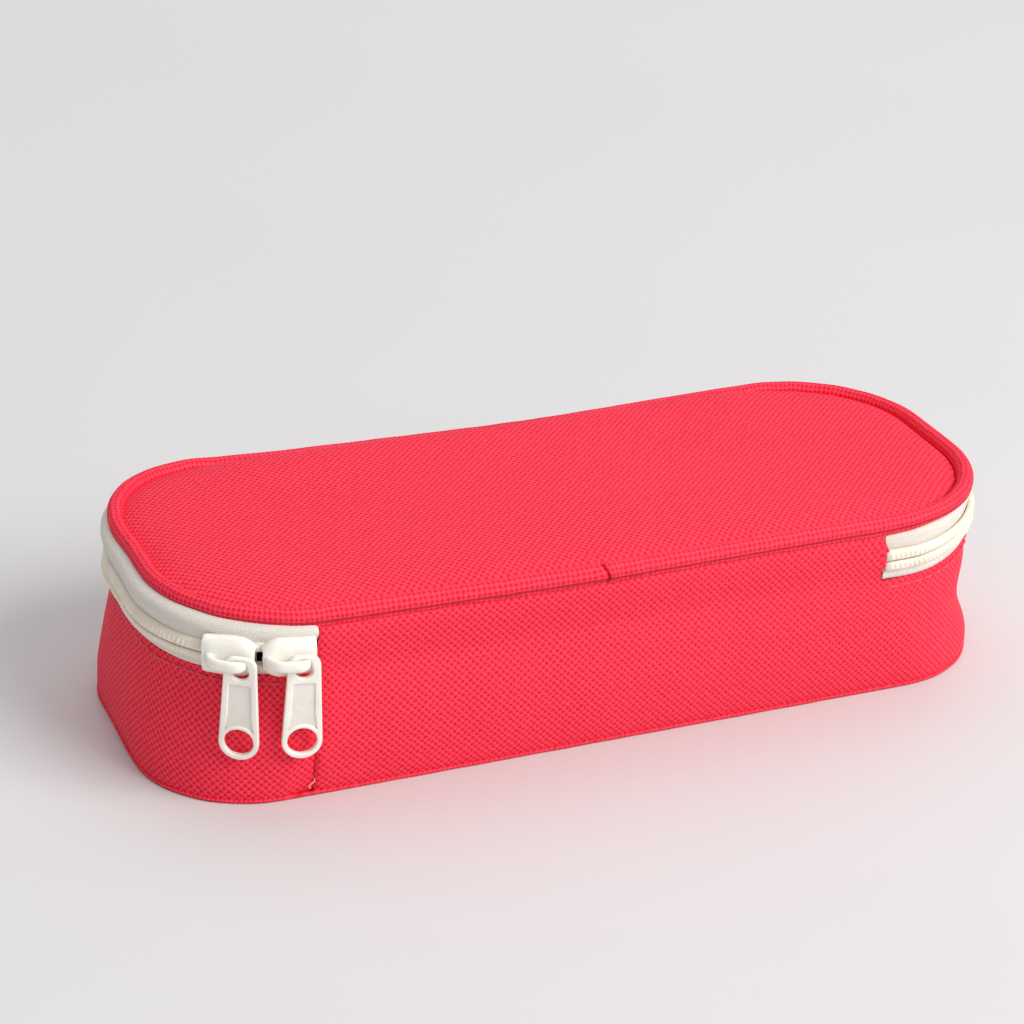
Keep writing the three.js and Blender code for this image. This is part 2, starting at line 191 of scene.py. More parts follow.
def make(name, points, faces, cloth=None):
    """A smooth mesh from points in millimetres. cloth holds each point's place on the flat
    fabric, in millimetres, which the weave follows."""
    mesh = bpy.data.meshes.new(name)
    mesh.from_pydata((np.asarray(points) * MM).reshape(-1, 3).tolist(), [], faces)
    mesh.update()
    if cloth is not None:
        flat = np.zeros((len(mesh.vertices), 3))
        flat[:, :2] = np.asarray(cloth, float).reshape(-1, 2)
        attribute = mesh.attributes.new("cloth", "FLOAT_VECTOR", "POINT")
        attribute.data.foreach_set("vector", flat.ravel())
    mesh.shade_smooth()
    return show(bpy.data.objects.new(name, mesh))


def show(obj):
    bpy.context.scene.collection.objects.link(obj)
    return obj


def vertices(mesh):
    """The mesh's points, in millimetres."""
    points = np.zeros(len(mesh.vertices) * 3)
    mesh.vertices.foreach_get("co", points)
    return points.reshape(-1, 3) / MM


def grid_faces(rows, columns, wrap_rows=False, wrap_columns=False, keep=None):
    """Quads over a grid of rows x columns points."""
    row, column = np.meshgrid(
        np.arange(rows if wrap_rows else rows - 1),
        np.arange(columns if wrap_columns else columns - 1),
        indexing="ij",
    )
    if keep is not None:
        row, column = row[keep], column[keep]
    below, right = (row + 1) % rows, (column + 1) % columns
    quads = np.stack([
        row * columns + column,
        row * columns + right,
        below * columns + right,
        below * columns + column,
    ], axis=-1)
    return quads.reshape(-1, 4).tolist()


def capped_faces(rows, sides):
    """The faces of a bar: rings of points, closed at both ends."""
    last = (rows - 1) * sides
    caps = [list(range(sides))[::-1], [last + i for i in range(sides)]]
    return grid_faces(rows, sides, wrap_columns=True) + caps


def flipped(faces):
    return [face[::-1] for face in faces]


def angles(count):
    """Angles evenly round a circle."""
    return np.arange(count) * 2 * math.pi / count


def signed_power(value, power):
    """Makes a sine or cosine squarer when the power is below 1."""
    return np.sign(value) * abs(value) ** power


def evaluated_mesh(obj):
    """The object's mesh with its modifiers applied."""
    graph = bpy.context.evaluated_depsgraph_get()
    return bpy.data.meshes.new_from_object(obj.evaluated_get(graph))


def bake_modifiers(obj):
    """Applies the object's modifiers to its mesh."""
    mesh, old = evaluated_mesh(obj), obj.data
    obj.modifiers.clear()
    obj.data = mesh
    bpy.data.meshes.remove(old)
    mesh.name = obj.name


def round_edges(obj, width):
    """Applies the object's modifiers, and rounds its sharp edges."""
    edge = obj.modifiers.new("edge", "BEVEL")
    edge.width = width * MM
    edge.segments = 2
    edge.limit_method = "ANGLE"
    edge.angle_limit = SHARP_EDGE
    bake_modifiers(obj)
    obj.data.shade_smooth()


def thicken(obj, thickness, bevel):
    """Gives a sheet a thickness inwards, and rounds its raw edges."""
    solid = obj.modifiers.new("thickness", "SOLIDIFY")
    solid.thickness = thickness * MM
    solid.offset = -1
    round_edges(obj, bevel)


@contextmanager
def editing(mesh):
    """The mesh's bmesh, written back at the end."""
    edit = bmesh.new()
    edit.from_mesh(mesh)
    yield edit
    edit.to_mesh(mesh)
    edit.free()


def drop_loose_points(mesh):
    """Deletes the points that no face uses."""
    with editing(mesh) as edit:
        loose = [point for point in edit.verts if not point.link_faces]
        bmesh.ops.delete(edit, geom=loose, context="VERTS")


def weld(obj, distance=0.02):
    with editing(obj.data) as edit:
        bmesh.ops.remove_doubles(edit, verts=edit.verts, dist=distance * MM)
        bmesh.ops.recalc_face_normals(edit, faces=edit.faces)
    obj.data.shade_smooth()


def join(name, parts):
    """Joins (points, faces, cloth) parts to one mesh."""
    points, faces, cloth, start = [], [], [], 0
    for part_points, part_faces, part_cloth in parts:
        points.append(np.reshape(part_points, (-1, 3)))
        faces += [[i + start for i in face] for face in part_faces]
        cloth.append(np.reshape(part_cloth, (-1, 2)))
        start += len(points[-1])
    return make(name, np.concatenate(points), faces, np.concatenate(cloth))


def path_length(section):
    """Distance along a (..., points, 2) section."""
    steps = np.linalg.norm(np.diff(section, axis=-2), axis=-1)
    return np.concatenate([np.zeros(steps.shape[:-1] + (1,)), np.cumsum(steps, axis=-1)], axis=-1)


def swept(stations, section, closed=False, slip=0.0):
    """A closed (n, z) section swept round the walls: points, faces and cloth places.
    The section may differ from station to station. slip moves its points along the lap."""
    stations = np.asarray(stations, float)
    section = np.broadcast_to(section, (len(stations),) + np.shape(section)[-2:])
    rows, sides = section.shape[:2]
    points = settle(place(stations[:, None] + slip, section[..., 0], section[..., 1]))
    if closed:
        faces = grid_faces(rows, sides, wrap_rows=True, wrap_columns=True)
    else:
        faces = capped_faces(rows, sides)
    run = np.broadcast_to(stations[:, None], (rows, sides))
    return points, flipped(faces), np.stack([run, path_length(section)], axis=-1)


def ovals(n, z, across, upright, sides):
    """An oval (n, z) section at each station: its middle and its half sizes."""
    angle = angles(sides)
    n, z, across, upright = (np.atleast_1d(v)[:, None] for v in (n, z, across, upright))
    return np.stack([n + across * np.cos(angle), z + upright * np.sin(angle)], axis=-1)


def round_section(n_low, n_high, z_low, z_high, corner, steps=3):
    """A rectangle with rounded corners, anticlockwise, in (n, z)."""
    corners = [
        (n_high - corner, z_low + corner, -90),
        (n_high - corner, z_high - corner, 0),
        (n_low + corner, z_high - corner, 90),
        (n_low + corner, z_low + corner, 180),
    ]
    points = []
    for n, z, start in corners:
        for step in range(steps + 1):
            angle = math.radians(start + 90 * step / steps)
            points.append((n + corner * math.cos(angle), z + corner * math.sin(angle)))
    return np.array(points)


def stations_between(start, end, step):
    return np.linspace(start, end, max(2, int(round((end - start) / step)) + 1))


# ---- Cloth simulation ----

SIM_SCALE = 10  # the case is small for the solver, so it is simulated ten times as large
SIM_FRAMES = 20
PRESSURE = 4.0


def inflate(points, faces, pinned):
    """Blows up a pinned sheet and gives how far each point moved, in millimetres."""
    points = np.reshape(points, (-1, 3))
    obj = make("inflating", points * SIM_SCALE, faces)
    pins = obj.vertex_groups.new(name="pins")
    pins.add(pinned, 1.0, "REPLACE")
    cloth = obj.modifiers.new("cloth", "CLOTH")
    settings = cloth.settings
    settings.quality = 6
    settings.mass = 0.3
    settings.tension_stiffness = 15
    settings.compression_stiffness = 15
    settings.bending_stiffness = 0.5
    settings.use_pressure = True
    settings.uniform_pressure_force = PRESSURE
    settings.vertex_group_mass = "pins"
    settings.effector_weights.gravity = 0
    cloth.point_cache.frame_start = 1
    cloth.point_cache.frame_end = SIM_FRAMES
    scene = bpy.context.scene
    for number in range(1, SIM_FRAMES + 1):
        scene.frame_set(number)
    evaluated = obj.evaluated_get(bpy.context.evaluated_depsgraph_get())
    after = vertices(evaluated.to_mesh())
    evaluated.to_mesh_clear()
    discard(obj)
    scene.frame_set(1)
    return after / SIM_SCALE - points


def discard(obj):
    data = obj.data
    bpy.data.objects.remove(obj)
    bpy.data.meshes.remove(data)


def resample(values, rows, columns):
    """Reads a coarse grid of values at fine places, given in grid steps. Its columns go round
    the lap."""
    low = np.clip(np.floor(rows).astype(int), 0, values.shape[0] - 2)
    share = (rows - low)[:, None]
    share = share * share * (3 - 2 * share) * 0.5 + share * 0.5
    by_row = values[low] * (1 - share) + values[low + 1] * share
    count = values.shape[1]
    left = np.floor(columns).astype(int)
    part = (columns - left)[None, :]
    return by_row[:, left % count] * (1 - part) + by_row[:, (left + 1) % count] * part


def relax(values, passes, lap):
    """Evens out a grid of values, keeping its first and last rows."""
    for _ in range(passes):
        if lap:
            across = (np.roll(values, 1, 1) + np.roll(values, -1, 1)) / 2
        else:
            across = values.copy()
            across[:, 1:-1] = (values[:, 2:] + values[:, :-2]) / 2
        along = values.copy()
        along[1:-1] = (values[2:] + values[:-2]) / 2
        values = (values * 2 + across + along) / 4
    return values


# ---- Materials ----


class Finish:
    """A material and short ways to build its nodes."""

    def __init__(self, name):
        self.material = bpy.data.materials.new(name)
        self.material.use_nodes = True
        self.tree = self.material.node_tree
        self.shader = self.tree.nodes["Principled BSDF"]

    def link(self, value, socket):
        if isinstance(value, bpy.types.NodeSocket):
            self.tree.links.new(value, socket)
        else:
            socket.default_value = value

    def node(self, kind, inputs=(), **settings):
        made = self.tree.nodes.new("ShaderNode" + kind)
        for key, value in settings.items():
            setattr(made, key, value)
        for key, value in dict(inputs).items():
            self.link(value, made.inputs[key])
        return made

    def math(self, operation, *values):
        return self.node("Math", dict(enumerate(values)), operation=operation).outputs[0]

    def add(self, one, other):
        return self.math("ADD", one, other)

    def times(self, one, other):
        return self.math("MULTIPLY", one, other)

    def sine(self, value, factor=np.pi):
        return self.math("SINE", self.times(value, factor))

    def parts(self, place):
        """The x, y and z of a place."""
        return self.node("SeparateXYZ", {0: place}).outputs

    def vector(self, operation, *values):
        return self.node("VectorMath", dict(enumerate(values)), operation=operation).outputs[0]

    def noise(self, place, scale, detail):
        made = self.node("TexNoise", {"Vector": place, "Scale": scale, "Detail": detail})
        return made.outputs["Fac"]

    def spread(self, value, low, high, to_low=0.0, to_high=1.0):
        made = self.node("MapRange", {
            "Value": value, "From Min": low, "From Max": high, "To Min": to_low, "To Max": to_high,
        })
        return made.outputs["Result"]

    def mix(self, share, one, other):
        made = self.node("Mix", data_type="RGBA")
        self.link(share, made.inputs["Factor"])
        self.link(one, made.inputs[6])
        self.link(other, made.inputs[7])
        return made.outputs[2]

    def set(self, **values):
        for key, value in values.items():
            self.link(value, self.shader.inputs[key.replace("_", " ")])

    def bumps(self, height, distance, strength=1.0, normal=None):
        inputs = {"Height": height, "Distance": distance * MM, "Strength": strength}
        if normal is not None:
            inputs["Normal"] = normal
        return self.node("Bump", inputs).outputs["Normal"]

    def cloth(self, turn=0.0, scale=1.0):
        """The place on the flat fabric, turned and scaled."""
        mapping = self.node("Mapping", {
            "Vector": self.node("Attribute", attribute_name="cloth").outputs["Vector"],
            "Rotation": (0, 0, math.radians(turn)),
            "Scale": (scale, scale, scale),
        })
        return mapping.outputs["Vector"]

    def object_place(self):
        return self.node("TexCoord").outputs["Object"]


def srgb(code):
    """A linear colour from a hex code."""
    values = [int(code[i:i + 2], 16) / 255 for i in (1, 3, 5)]
    return tuple(v / 12.92 if v < 0.04045 else ((v + 0.055) / 1.055) ** 2.4 for v in values) + (1,)


def weave(finish, turn):
    """Plain weave: the height of the yarns, the pits between them, which the shell paints darker as
    shade, and the place in it.
    """
    place = finish.cloth(turn, 1 / YARN)
    drift = finish.node("TexNoise", {"Vector": place, "Scale": 0.55, "Detail": 3.0})
    drift = finish.vector("SUBTRACT", drift.outputs["Color"], (0.5, 0.5, 0.5))
    drift = finish.vector("MULTIPLY", drift, (YARN_DRIFT, YARN_DRIFT, 0))
    place = finish.vector("ADD", place, drift)
    parts = finish.parts(place)
    wave_u, wave_v = finish.sine(parts[0]), finish.sine(parts[1])
    over = finish.times(wave_u, wave_v)
    pit = finish.spread(over, 0.2, -0.8)
    crown = finish.spread(over, 0.0, 0.9)
    gap = finish.math("MINIMUM", *(finish.math("ABSOLUTE", wave) for wave in (wave_u, wave_v)))
    thread = finish.math("POWER", gap, 0.5)
    height = finish.add(finish.times(crown, 0.3), finish.times(thread, 0.25))
    height = finish.math("SUBTRACT", finish.add(height, 0.45), finish.times(pit, 0.45))
    return height, pit, place


def shell_finish(name, turn, depth):
    """The red woven shell fabric, coloured with painted light: a painted highlight on the yarns'
    crowns and painted shade in the small pits between them.
    """
    finish = Finish(name)
    height, pit, place = weave(finish, turn)
    fibre = finish.noise(finish.vector("MULTIPLY", place, (3.0, 9.0, 1)), 1.6, 3.0)
    patch = finish.noise(finish.object_place(), 14.0, 3.0)
    # Painted light: the yarns' crowns are painted lighter as a highlight and the pits between them
    # darker as shade.
    crown_highlight = finish.spread(height, 0.0, 0.75, 0.7, 1.0)
    light = finish.math("SUBTRACT", crown_highlight, finish.times(pit, 0.8))
    light = finish.add(light, finish.spread(fibre, 0.3, 0.7, -0.13, 0.13))
    # The first colour is the painted shade, the second the painted highlight.
    colour = finish.mix(finish.spread(light, 0.05, 0.95), srgb("#D40018"), srgb("#FF3854"))
    worn = finish.mix(finish.spread(patch, 0.35, 0.7, 0.0, 0.08), colour, srgb("#FF5068"))
    yarns = finish.bumps(finish.add(height, finish.times(fibre, 0.18)), depth)
    soft = finish.noise(finish.object_place(), 60.0, 2.0)
    finish.set(
        Base_Color=worn,
        Roughness=finish.spread(height, 0.0, 1.0, 0.8, 0.58),
        Sheen_Weight=0.03,
        Sheen_Roughness=0.4,
        Sheen_Tint=srgb("#FF8090"),
        Specular_IOR_Level=0.3,
        Normal=finish.bumps(soft, 0.35, 1.0, yarns),
    )
    return finish.material


def twill_finish(name, lit, shade, pitch, slant, depth):
    """Fine twill tape or lining."""
    finish = Finish(name)
    place = finish.cloth(0, 1 / pitch)
    parts = finish.parts(place)
    diagonal = finish.add(parts[0], finish.times(parts[1], math.tan(math.radians(slant))))
    rib, thread = (finish.math("ABSOLUTE", finish.sine(part)) for part in (diagonal, parts[1]))
    thread = finish.add(0.5, finish.times(thread, 0.5))
    height = finish.times(finish.math("POWER", rib, 0.7), thread)
    speckle = finish.noise(finish.vector("MULTIPLY", place, (1.0, 0.6, 1.0)), 1.3, 3.0)
    patch = finish.noise(finish.object_place(), 40.0, 2.0)
    # Painted light: the ribs are painted towards the lit colour and the grooves towards the shade
    # colour.
    light = finish.add(height, finish.spread(speckle, 0.3, 0.7, -0.35, 0.35))
    colour = finish.mix(finish.spread(light, 0.0, 1.0), srgb(shade), srgb(lit))
    finish.set(
        Base_Color=finish.mix(finish.spread(patch, 0.35, 0.75, 0.0, 0.12), colour, srgb(shade)),
        Roughness=finish.spread(height, 0.0, 1.0, 0.85, 0.75),
        Sheen_Weight=0.15,
        Sheen_Roughness=0.5,
        Specular_IOR_Level=0.3,
        Normal=finish.bumps(height, depth),
    )
    return finish.material


def coil_finish():
    finish = Finish("zip_coil_plastic")
    place = finish.object_place()
    patch = finish.noise(place, 260.0, 3.0)
    fine = finish.noise(place, 1500.0, 2.0)
    colour = finish.mix(finish.spread(patch, 0.35, 0.7), srgb("#EFE3CE"), srgb("#F4ECDD"))
    finish.set(
        Base_Color=colour,
        Roughness=finish.spread(fine, 0.3, 0.7, 0.42, 0.55),
        Subsurface_Weight=0.08,
        Specular_IOR_Level=0.45,
        Normal=finish.bumps(fine, 0.02),
    )
    finish.shader.inputs["Subsurface Radius"].default_value = (0.001, 0.0008, 0.0005)
    return finish.material


def enamel_finish(name, paint, blotch_and_shade):
    """Thick glossy paint over a casting: a little orange peel, darker in random blotches, with
    painted shade darkening the hollows.
    """
    finish = Finish(name)
    place = finish.object_place()
    peel = finish.noise(place, 650.0, 2.0)
    patch = finish.noise(place, 180.0, 4.0)
    edge = finish.node("NewGeometry").outputs["Pointiness"]
    colour = srgb(paint)
    for darkening in (
        finish.spread(patch, 0.4, 0.75, 0.0, 0.35),
        # Painted shade: the hollows, where the pointiness is low, are painted darker.
        finish.spread(edge, 0.47, 0.4, 0.0, 0.4),
    ):
        colour = finish.mix(darkening, colour, srgb(blotch_and_shade))
    finish.set(
        Base_Color=colour,
        Roughness=finish.spread(patch, 0.3, 0.7, 0.26, 0.36),
        Specular_IOR_Level=0.5,
        Coat_Weight=0.3,
        Coat_Roughness=0.15,
        Normal=finish.bumps(peel, 0.05, 0.5),
    )
    return finish.material


def foam_finish(name, colour_code, pore_code):
    finish = Finish(name)
    place = finish.object_place()
    cells = finish.node("TexVoronoi", {"Vector": place, "Scale": 1400.0}).outputs["Distance"]
    # Painted shade: the pores are painted darker.
    colour = finish.mix(finish.spread(cells, 0.1, 0.6), srgb(pore_code), srgb(colour_code))
    finish.set(Base_Color=colour, Roughness=0.95, Normal=finish.bumps(cells, 0.1))
    return finish.material


def thread_finish(name, dark, light):
    finish = Finish(name)
    parts = finish.parts(finish.cloth())
    # Painted light: the twist's grooves are painted darker as shade and its ridges lighter as a
    # highlight.
    twist = finish.sine(finish.add(parts[0], parts[1]), 14.0)
    finish.set(
        Base_Color=finish.mix(finish.spread(twist, -1.0, 1.0), srgb(dark), srgb(light)),
        Roughness=finish.spread(twist, -1.0, 1.0, 0.6, 0.45),
        Sheen_Weight=0.2,
        Normal=finish.bumps(twist, 0.03),
    )
    return finish.material


def floor_finish():
    finish = Finish("studio_floor")
    place = finish.object_place()
    broad = finish.noise(place, 3.0, 2.0)
    fine = finish.noise(place, 400.0, 2.0)
    colour = finish.mix(finish.spread(broad, 0.35, 0.7), srgb("#D9D7D6"), srgb("#D5D3D3"))
    # Painted light: the floor is painted lighter towards the back.
    back = finish.parts(place)[1]
    colour = finish.mix(finish.spread(back, 0.1, 1.1), colour, srgb("#F0EEEE"))
    finish.set(
        Base_Color=colour,
        Roughness=finish.spread(fine, 0.3, 0.7, 0.6, 0.7),
        Specular_IOR_Level=0.25,
        Normal=finish.bumps(fine, 0.03, 0.4),
    )
    return finish.material


# Each look is a material and the record's slot that it belongs to.
SHELL = shell_finish("red_shell_fabric", 0.0, 0.17), "shell_fabric"
PIPING_CLOTH = shell_finish("red_piping_fabric", 45.0, 0.15), "piping_fabric"
LINING = twill_finish("red_lining", "#D8405A", "#A92741", 0.45, 0.0, 0.04), "lining_fabric"
BINDING = twill_finish("red_binding_tape", "#CE3049", "#961B33", 0.8, 40.0, 0.1), "binding_tape"
TAPE = twill_finish("ivory_zip_tape", "#EDE7DC", "#D5CDC1", 0.55, 55.0, 0.06), "zip_tape"
COIL = coil_finish(), "zip_coil"
ENAMEL = enamel_finish("ivory_enamel", "#F7F3E8", "#DFD8C8"), "slider_enamel"
# The pull's sunk panel: the same ivory enamel painted darker, as painted shade in its recess.
ENAMEL_SHADED = enamel_finish("ivory_enamel_painted_shade", "#EAE6DB", "#D6CFC0"), "slider_enamel"
BOARD = foam_finish("base_board", "#8C8A86", "#6E6C68"), "base_board"
CORD = foam_finish("piping_cord", "#ECE6DA", "#D0C8BA"), "piping_cord"
THREAD = thread_finish("red_thread", "#DC2440", "#FF5A6C"), "shell_fabric"
LOOSE = thread_finish("loose_thread_fibre", "#E08468", "#F6B49A"), "shell_fabric"


def dress(obj, look, body=None, *nodes):
    """Gives a piece its look's material, hides the CAD nodes that it stands for and parents it to
    the body it rides on.
    """
    material, slot = look
    obj.data.materials.clear()
    obj.data.materials.append(material)
    if nodes:
        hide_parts(*nodes)
    if body:
        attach(obj, body)
    return obj


# ---- Walls ----

MOST_WALL_PUFF = 1.1
MOST_LID_PUFF = 0.9


def foot_draw(t):
    """How far the walls' foot is drawn in."""
    return 0.15 + 0.25 * around(t, T_LEFT, 50) + 0.3 * around(t, T_RIGHT, 50)


def waist(t, z):
    """The right end has sagged inwards."""
    return around(t, T_RIGHT, 34) * (4.9 * bump(z, 16.5, 7.5) - 0.9 * bump(z, 4, 5))


def wall_shape(t, z):
    """The wall's face: rounded in at the foot, a soft belly, drawn in under the zip."""
    drawn = foot_draw(t) + 0.55 * (1 - np.clip((z - 0.4) / 2.4, 0, 1)) ** 2.0
    belly = 0.7 * np.sin(math.pi * np.clip((z + 1) / 30, 0, 1)) ** 1.2
    in_zip = smooth(t, T_SEAM - 1, T_SEAM + 6) * (1 - smooth(t, T_ZIP_END - 8, T_ZIP_END + 1))
    pinch = 0.35 * bump(z, WALL_TOP, 4.5) * in_zip
    seam_gap = np.minimum((t - T_SEAM) % LAP, (T_SEAM - t) % LAP)
    seam = np.exp(-seam_gap / 0.5) * (1 - 0.4 * z / WALL_TOP)
    swell = 0.75 * smooth(z, 30, 38.5) - 0.5 * smooth(z, HINGE_TOP - 1.6, HINGE_TOP + 0.2)
    drift = 0.16 * ripple(t, 26, 3) * np.sin(math.pi * np.clip(z / 31, 0, 1))
    return belly - drawn - pinch - waist(t, z) - seam + swell * (1 - in_zip) + drift


def flat_run(t, z):
    """How far along the flat fabric each point of a (z, t) grid lies. The fabric is measured
    from the seam on the zip's side, and from the piping's join on the hinge's side."""
    steps = np.linalg.norm(np.diff(place(t, 0.0, z), axis=1), axis=-1)
    run = np.concatenate([np.zeros((len(steps), 1)), np.cumsum(steps, axis=1)], axis=1)
    at_join = np.array([np.interp(LAP, row_t, row) for row_t, row in zip(t, run)])[:, None]
    share = smooth(t, KNOT_T[6] + 10, KNOT_T[7] - 10)
    return (T_SEAM + run) * (1 - share) + (LAP + run - at_join) * share


def wall_cover():
    """The padded outer fabric: one strip, taller along the hinge, whose ends meet in an upright
    seam."""
    near = np.array([0.0, 0.12, 0.3, 0.6, 1.0, 1.6])
    stations = np.concatenate([
        T_SEAM + near,
        stations_between(T_SEAM + 2.6, T_ZIP_END - 1.2, 1.5),
        stations_between(T_ZIP_END, T_SEAM + LAP - 2.6, 1.5),
        T_SEAM + LAP - near[::-1],
    ])
    heights = np.concatenate([
        [0.5, 0.9, 1.4, 2.0, 2.8, 3.8, 5.0, 6.4, 8.0],
        stations_between(9.5, WALL_TOP - 1.6, 1.5),
        [WALL_TOP - 0.6, WALL_TOP],
        np.linspace(WALL_TOP + 1.2, HINGE_TOP, 8),
    ])
    t, z = np.meshgrid(stations, heights)
    n = wall_shape(t, z)
    n = n + wall_puff(heights, stations)
    along_zip = (t > T_SEAM) & (t < T_ZIP_END)
    # The fabric's edge over the zip's end waves a little, and so does its edge along the zip.
    edge = np.isclose(t, T_ZIP_END)
    slip = np.where(edge & (z > WALL_TOP), -0.5 + 0.9 * np.sin((z - WALL_TOP) * 0.75), 0)
    height = z + np.where(along_zip & (z > WALL_TOP - 2), 0.18 * ripple(t, 40, 5), 0)
    points = settle(place(t + slip, n, height))
    middle = (stations[:-1] + stations[1:]) / 2
    open_zip = (heights[:-1, None] > WALL_TOP - 0.01) & (middle < T_ZIP_END)
    faces = flipped(grid_faces(*z.shape, keep=~open_zip))
    obj = make("wall_cover", points, faces, np.stack([flat_run(t, z), z], axis=-1))
    drop_loose_points(obj.data)
    thicken(obj, 0.75, 0.22)
    dress(obj, SHELL, None, "wall_fabric", "side_foam", "hinge_foam")
    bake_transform(obj)


def wall_puff(heights, stations):
    """How far the padding presses the fabric out, from a simulation of a coarse wall."""
    columns, rows = 120, 9
    t = np.arange(columns) * LAP / columns
    z = np.linspace(1, WALL_TOP, rows)
    points = place(t[None, :], 0.0, z[:, None])
    faces = flipped(grid_faces(rows, columns, wrap_columns=True))
    pinned = list(range(columns)) + list(range((rows - 1) * columns, rows * columns))
    moved = inflate(points, faces, pinned).reshape(rows, columns, 3)
    _, _, facing = outline(t, TOP_CORNER)
    outward = moved[..., 0] * np.cos(facing) + moved[..., 1] * np.sin(facing)
    outward = MOST_WALL_PUFF * np.tanh(np.maximum(outward, 0) / MOST_WALL_PUFF)
    columns_at = (stations % LAP) / LAP * columns
    fine = resample(outward, np.interp(heights, z, np.arange(rows)), columns_at)
    fine[heights > WALL_TOP] = 0
    return relax(fine, 3, False)


# ---- Flat pads ----

PAD_COLUMNS = 262
PAD_SHARES = np.linspace(0, 1, 20) ** 1.7
LID_INSET = 3.0


def pad_rings(inset, height, shares, columns=PAD_COLUMNS):
    """Rings from the outline at a height in to the spine: (shares, columns, 2)."""
    edge = place(np.arange(columns) * LAP / columns, -inset, height)[..., :2]
    spine_x = np.clip(edge[:, 0], HALF_WIDTH - HALF_LENGTH, HALF_LENGTH - HALF_WIDTH)
    spine = np.stack([spine_x, np.zeros(columns)], axis=-1)
    shares = shares[:, None, None]
    return edge * (1 - shares) + spine * shares


def pad(name, inset, top, bottom, outline_height):
    """A closed pad with the case's outline. top and bottom give heights from the distance in
    from the edge and the place."""
    rings = pad_rings(inset, outline_height, PAD_SHARES)
    depth = np.linalg.norm(rings - rings[:1], axis=-1)
    upper, lower = (
        np.concatenate([rings, face(depth, rings)[..., None]], axis=-1) for face in (top, bottom)
    )
    points = settle(np.concatenate([upper[::-1], lower]))
    rows, columns = points.shape[:2]
    obj = make(name, points, grid_faces(rows, columns, wrap_columns=True), points[..., :2])
    weld(obj)
    return obj


def lid_puff():
    """The lid's fabric over its foam: its shares, and its lift on a (shares, columns) grid."""
    shares = np.linspace(0, 1, 9) ** 1.5
    columns = 100
    rings = pad_rings(LID_INSET, WALL_TOP, shares, columns)
    points = np.concatenate([rings, np.zeros(rings.shape[:2] + (1,))], axis=-1).reshape(-1, 3)
    # Points that meet on the spine are one point.
    _, first, back = np.unique(
        np.round(points, 2), axis=0, return_index=True, return_inverse=True)
    back = back.ravel()
    merged = {}
    for face in grid_faces(len(shares), columns, wrap_columns=True):
        corners = list(dict.fromkeys(int(back[i]) for i in face))
        if len(corners) > 2:
            merged[tuple(sorted(corners[::-1]))] = corners[::-1]
    pinned = sorted({int(back[i]) for i in range(columns)})
    moved = inflate(points[first], list(merged.values()), pinned)
    return shares, abs(moved[:, 2])[back].reshape(len(shares), columns)


def lid_pad():
    """The padded lid: fabric over foam, drawn down at its seam with the piping."""
    lift = None
    shares, coarse = lid_puff()
    rows = np.interp(PAD_SHARES, shares, np.arange(len(shares)))
    columns = np.arange(PAD_COLUMNS) / PAD_COLUMNS * coarse.shape[1]
    lift = relax(resample(coarse, rows, columns), 4, True)

    def top(depth, rings):
        x, y = rings[..., 0], rings[..., 1]
        rise = 1.35 * (1 - np.exp(-depth / 2.2)) + 0.9 * (1 - np.exp(-depth / 11.0))
        if lift is not None:
            rise = rise - 0.45 * (1 - np.exp(-depth / 11.0)) + MOST_LID_PUFF * np.tanh(lift / 2.0)
        wave = 0.18 * np.sin(x / 17 + 1.3) * np.cos(y / 13 + 0.4) * (1 - np.exp(-depth / 9))
        # The groove beside the piping is filled along the back and deepest round the right end.
        along_back = smooth(y, 10, 34) * (1 - smooth(abs(x), 58, 84))
        filled = 1.9 * along_back * (1 - np.exp(-depth / 1.2))
        groove = 0.9 * smooth(x, 55, 88) * np.exp(-depth / 1.5)
        return PIPING_Z - 0.2 + rise + wave + filled - groove

    obj = pad("lid_pad", LID_INSET, top, flat_level(42.1, 1.4, 0.6), WALL_TOP)
    dress(obj, SHELL, "lid", "lid_panel", "lid_foam")


def flat_level(height, edge=0.0, reach=1.0):
    """A flat face, which rises or falls towards the pad's edge."""
    return lambda depth, rings: height + edge * np.exp(-depth / reach)


def flat_pads():
    pads = (
        # name, inset, top, bottom, the outline's height, look, body, node
        ("base_fabric", 1.6, flat_level(0.95, -0.2), flat_level(0.25, 0.25, 2.0), 0.0,
         SHELL, "case", "bottom_panel"),
        ("base_stiffener", 4.0, flat_level(3.1, -0.3, 0.5), flat_level(1.2, 0.3, 0.5), 3.0,
         BOARD, "case", "bottom_board"),
        ("base_lining", 3.95, flat_level(3.95, -0.15), flat_level(3.35, 0.1), 3.5,
         LINING, "case", "bottom_lining"),
        ("lid_lining_fabric", 6.0, flat_level(41.65, -0.1), flat_level(40.9, 0.2, 3.0), WALL_TOP,
         LINING, "lid", "lid_lining"),
    )
    for name, inset, top, bottom, height, look, body, node in pads:
        dress(pad(name, inset, top, bottom, height), look, body, node)


# ---- Piping, seams and tapes ----


def along_front(t):
    """1 along the hinge, falling to 0 beyond its ends."""
    t = np.asarray(t, float) % LAP
    return 1 - smooth(t, T_SEAM - 2, T_SEAM + 16) * (1 - smooth(t, T_ZIP_END - 16, T_ZIP_END + 2))


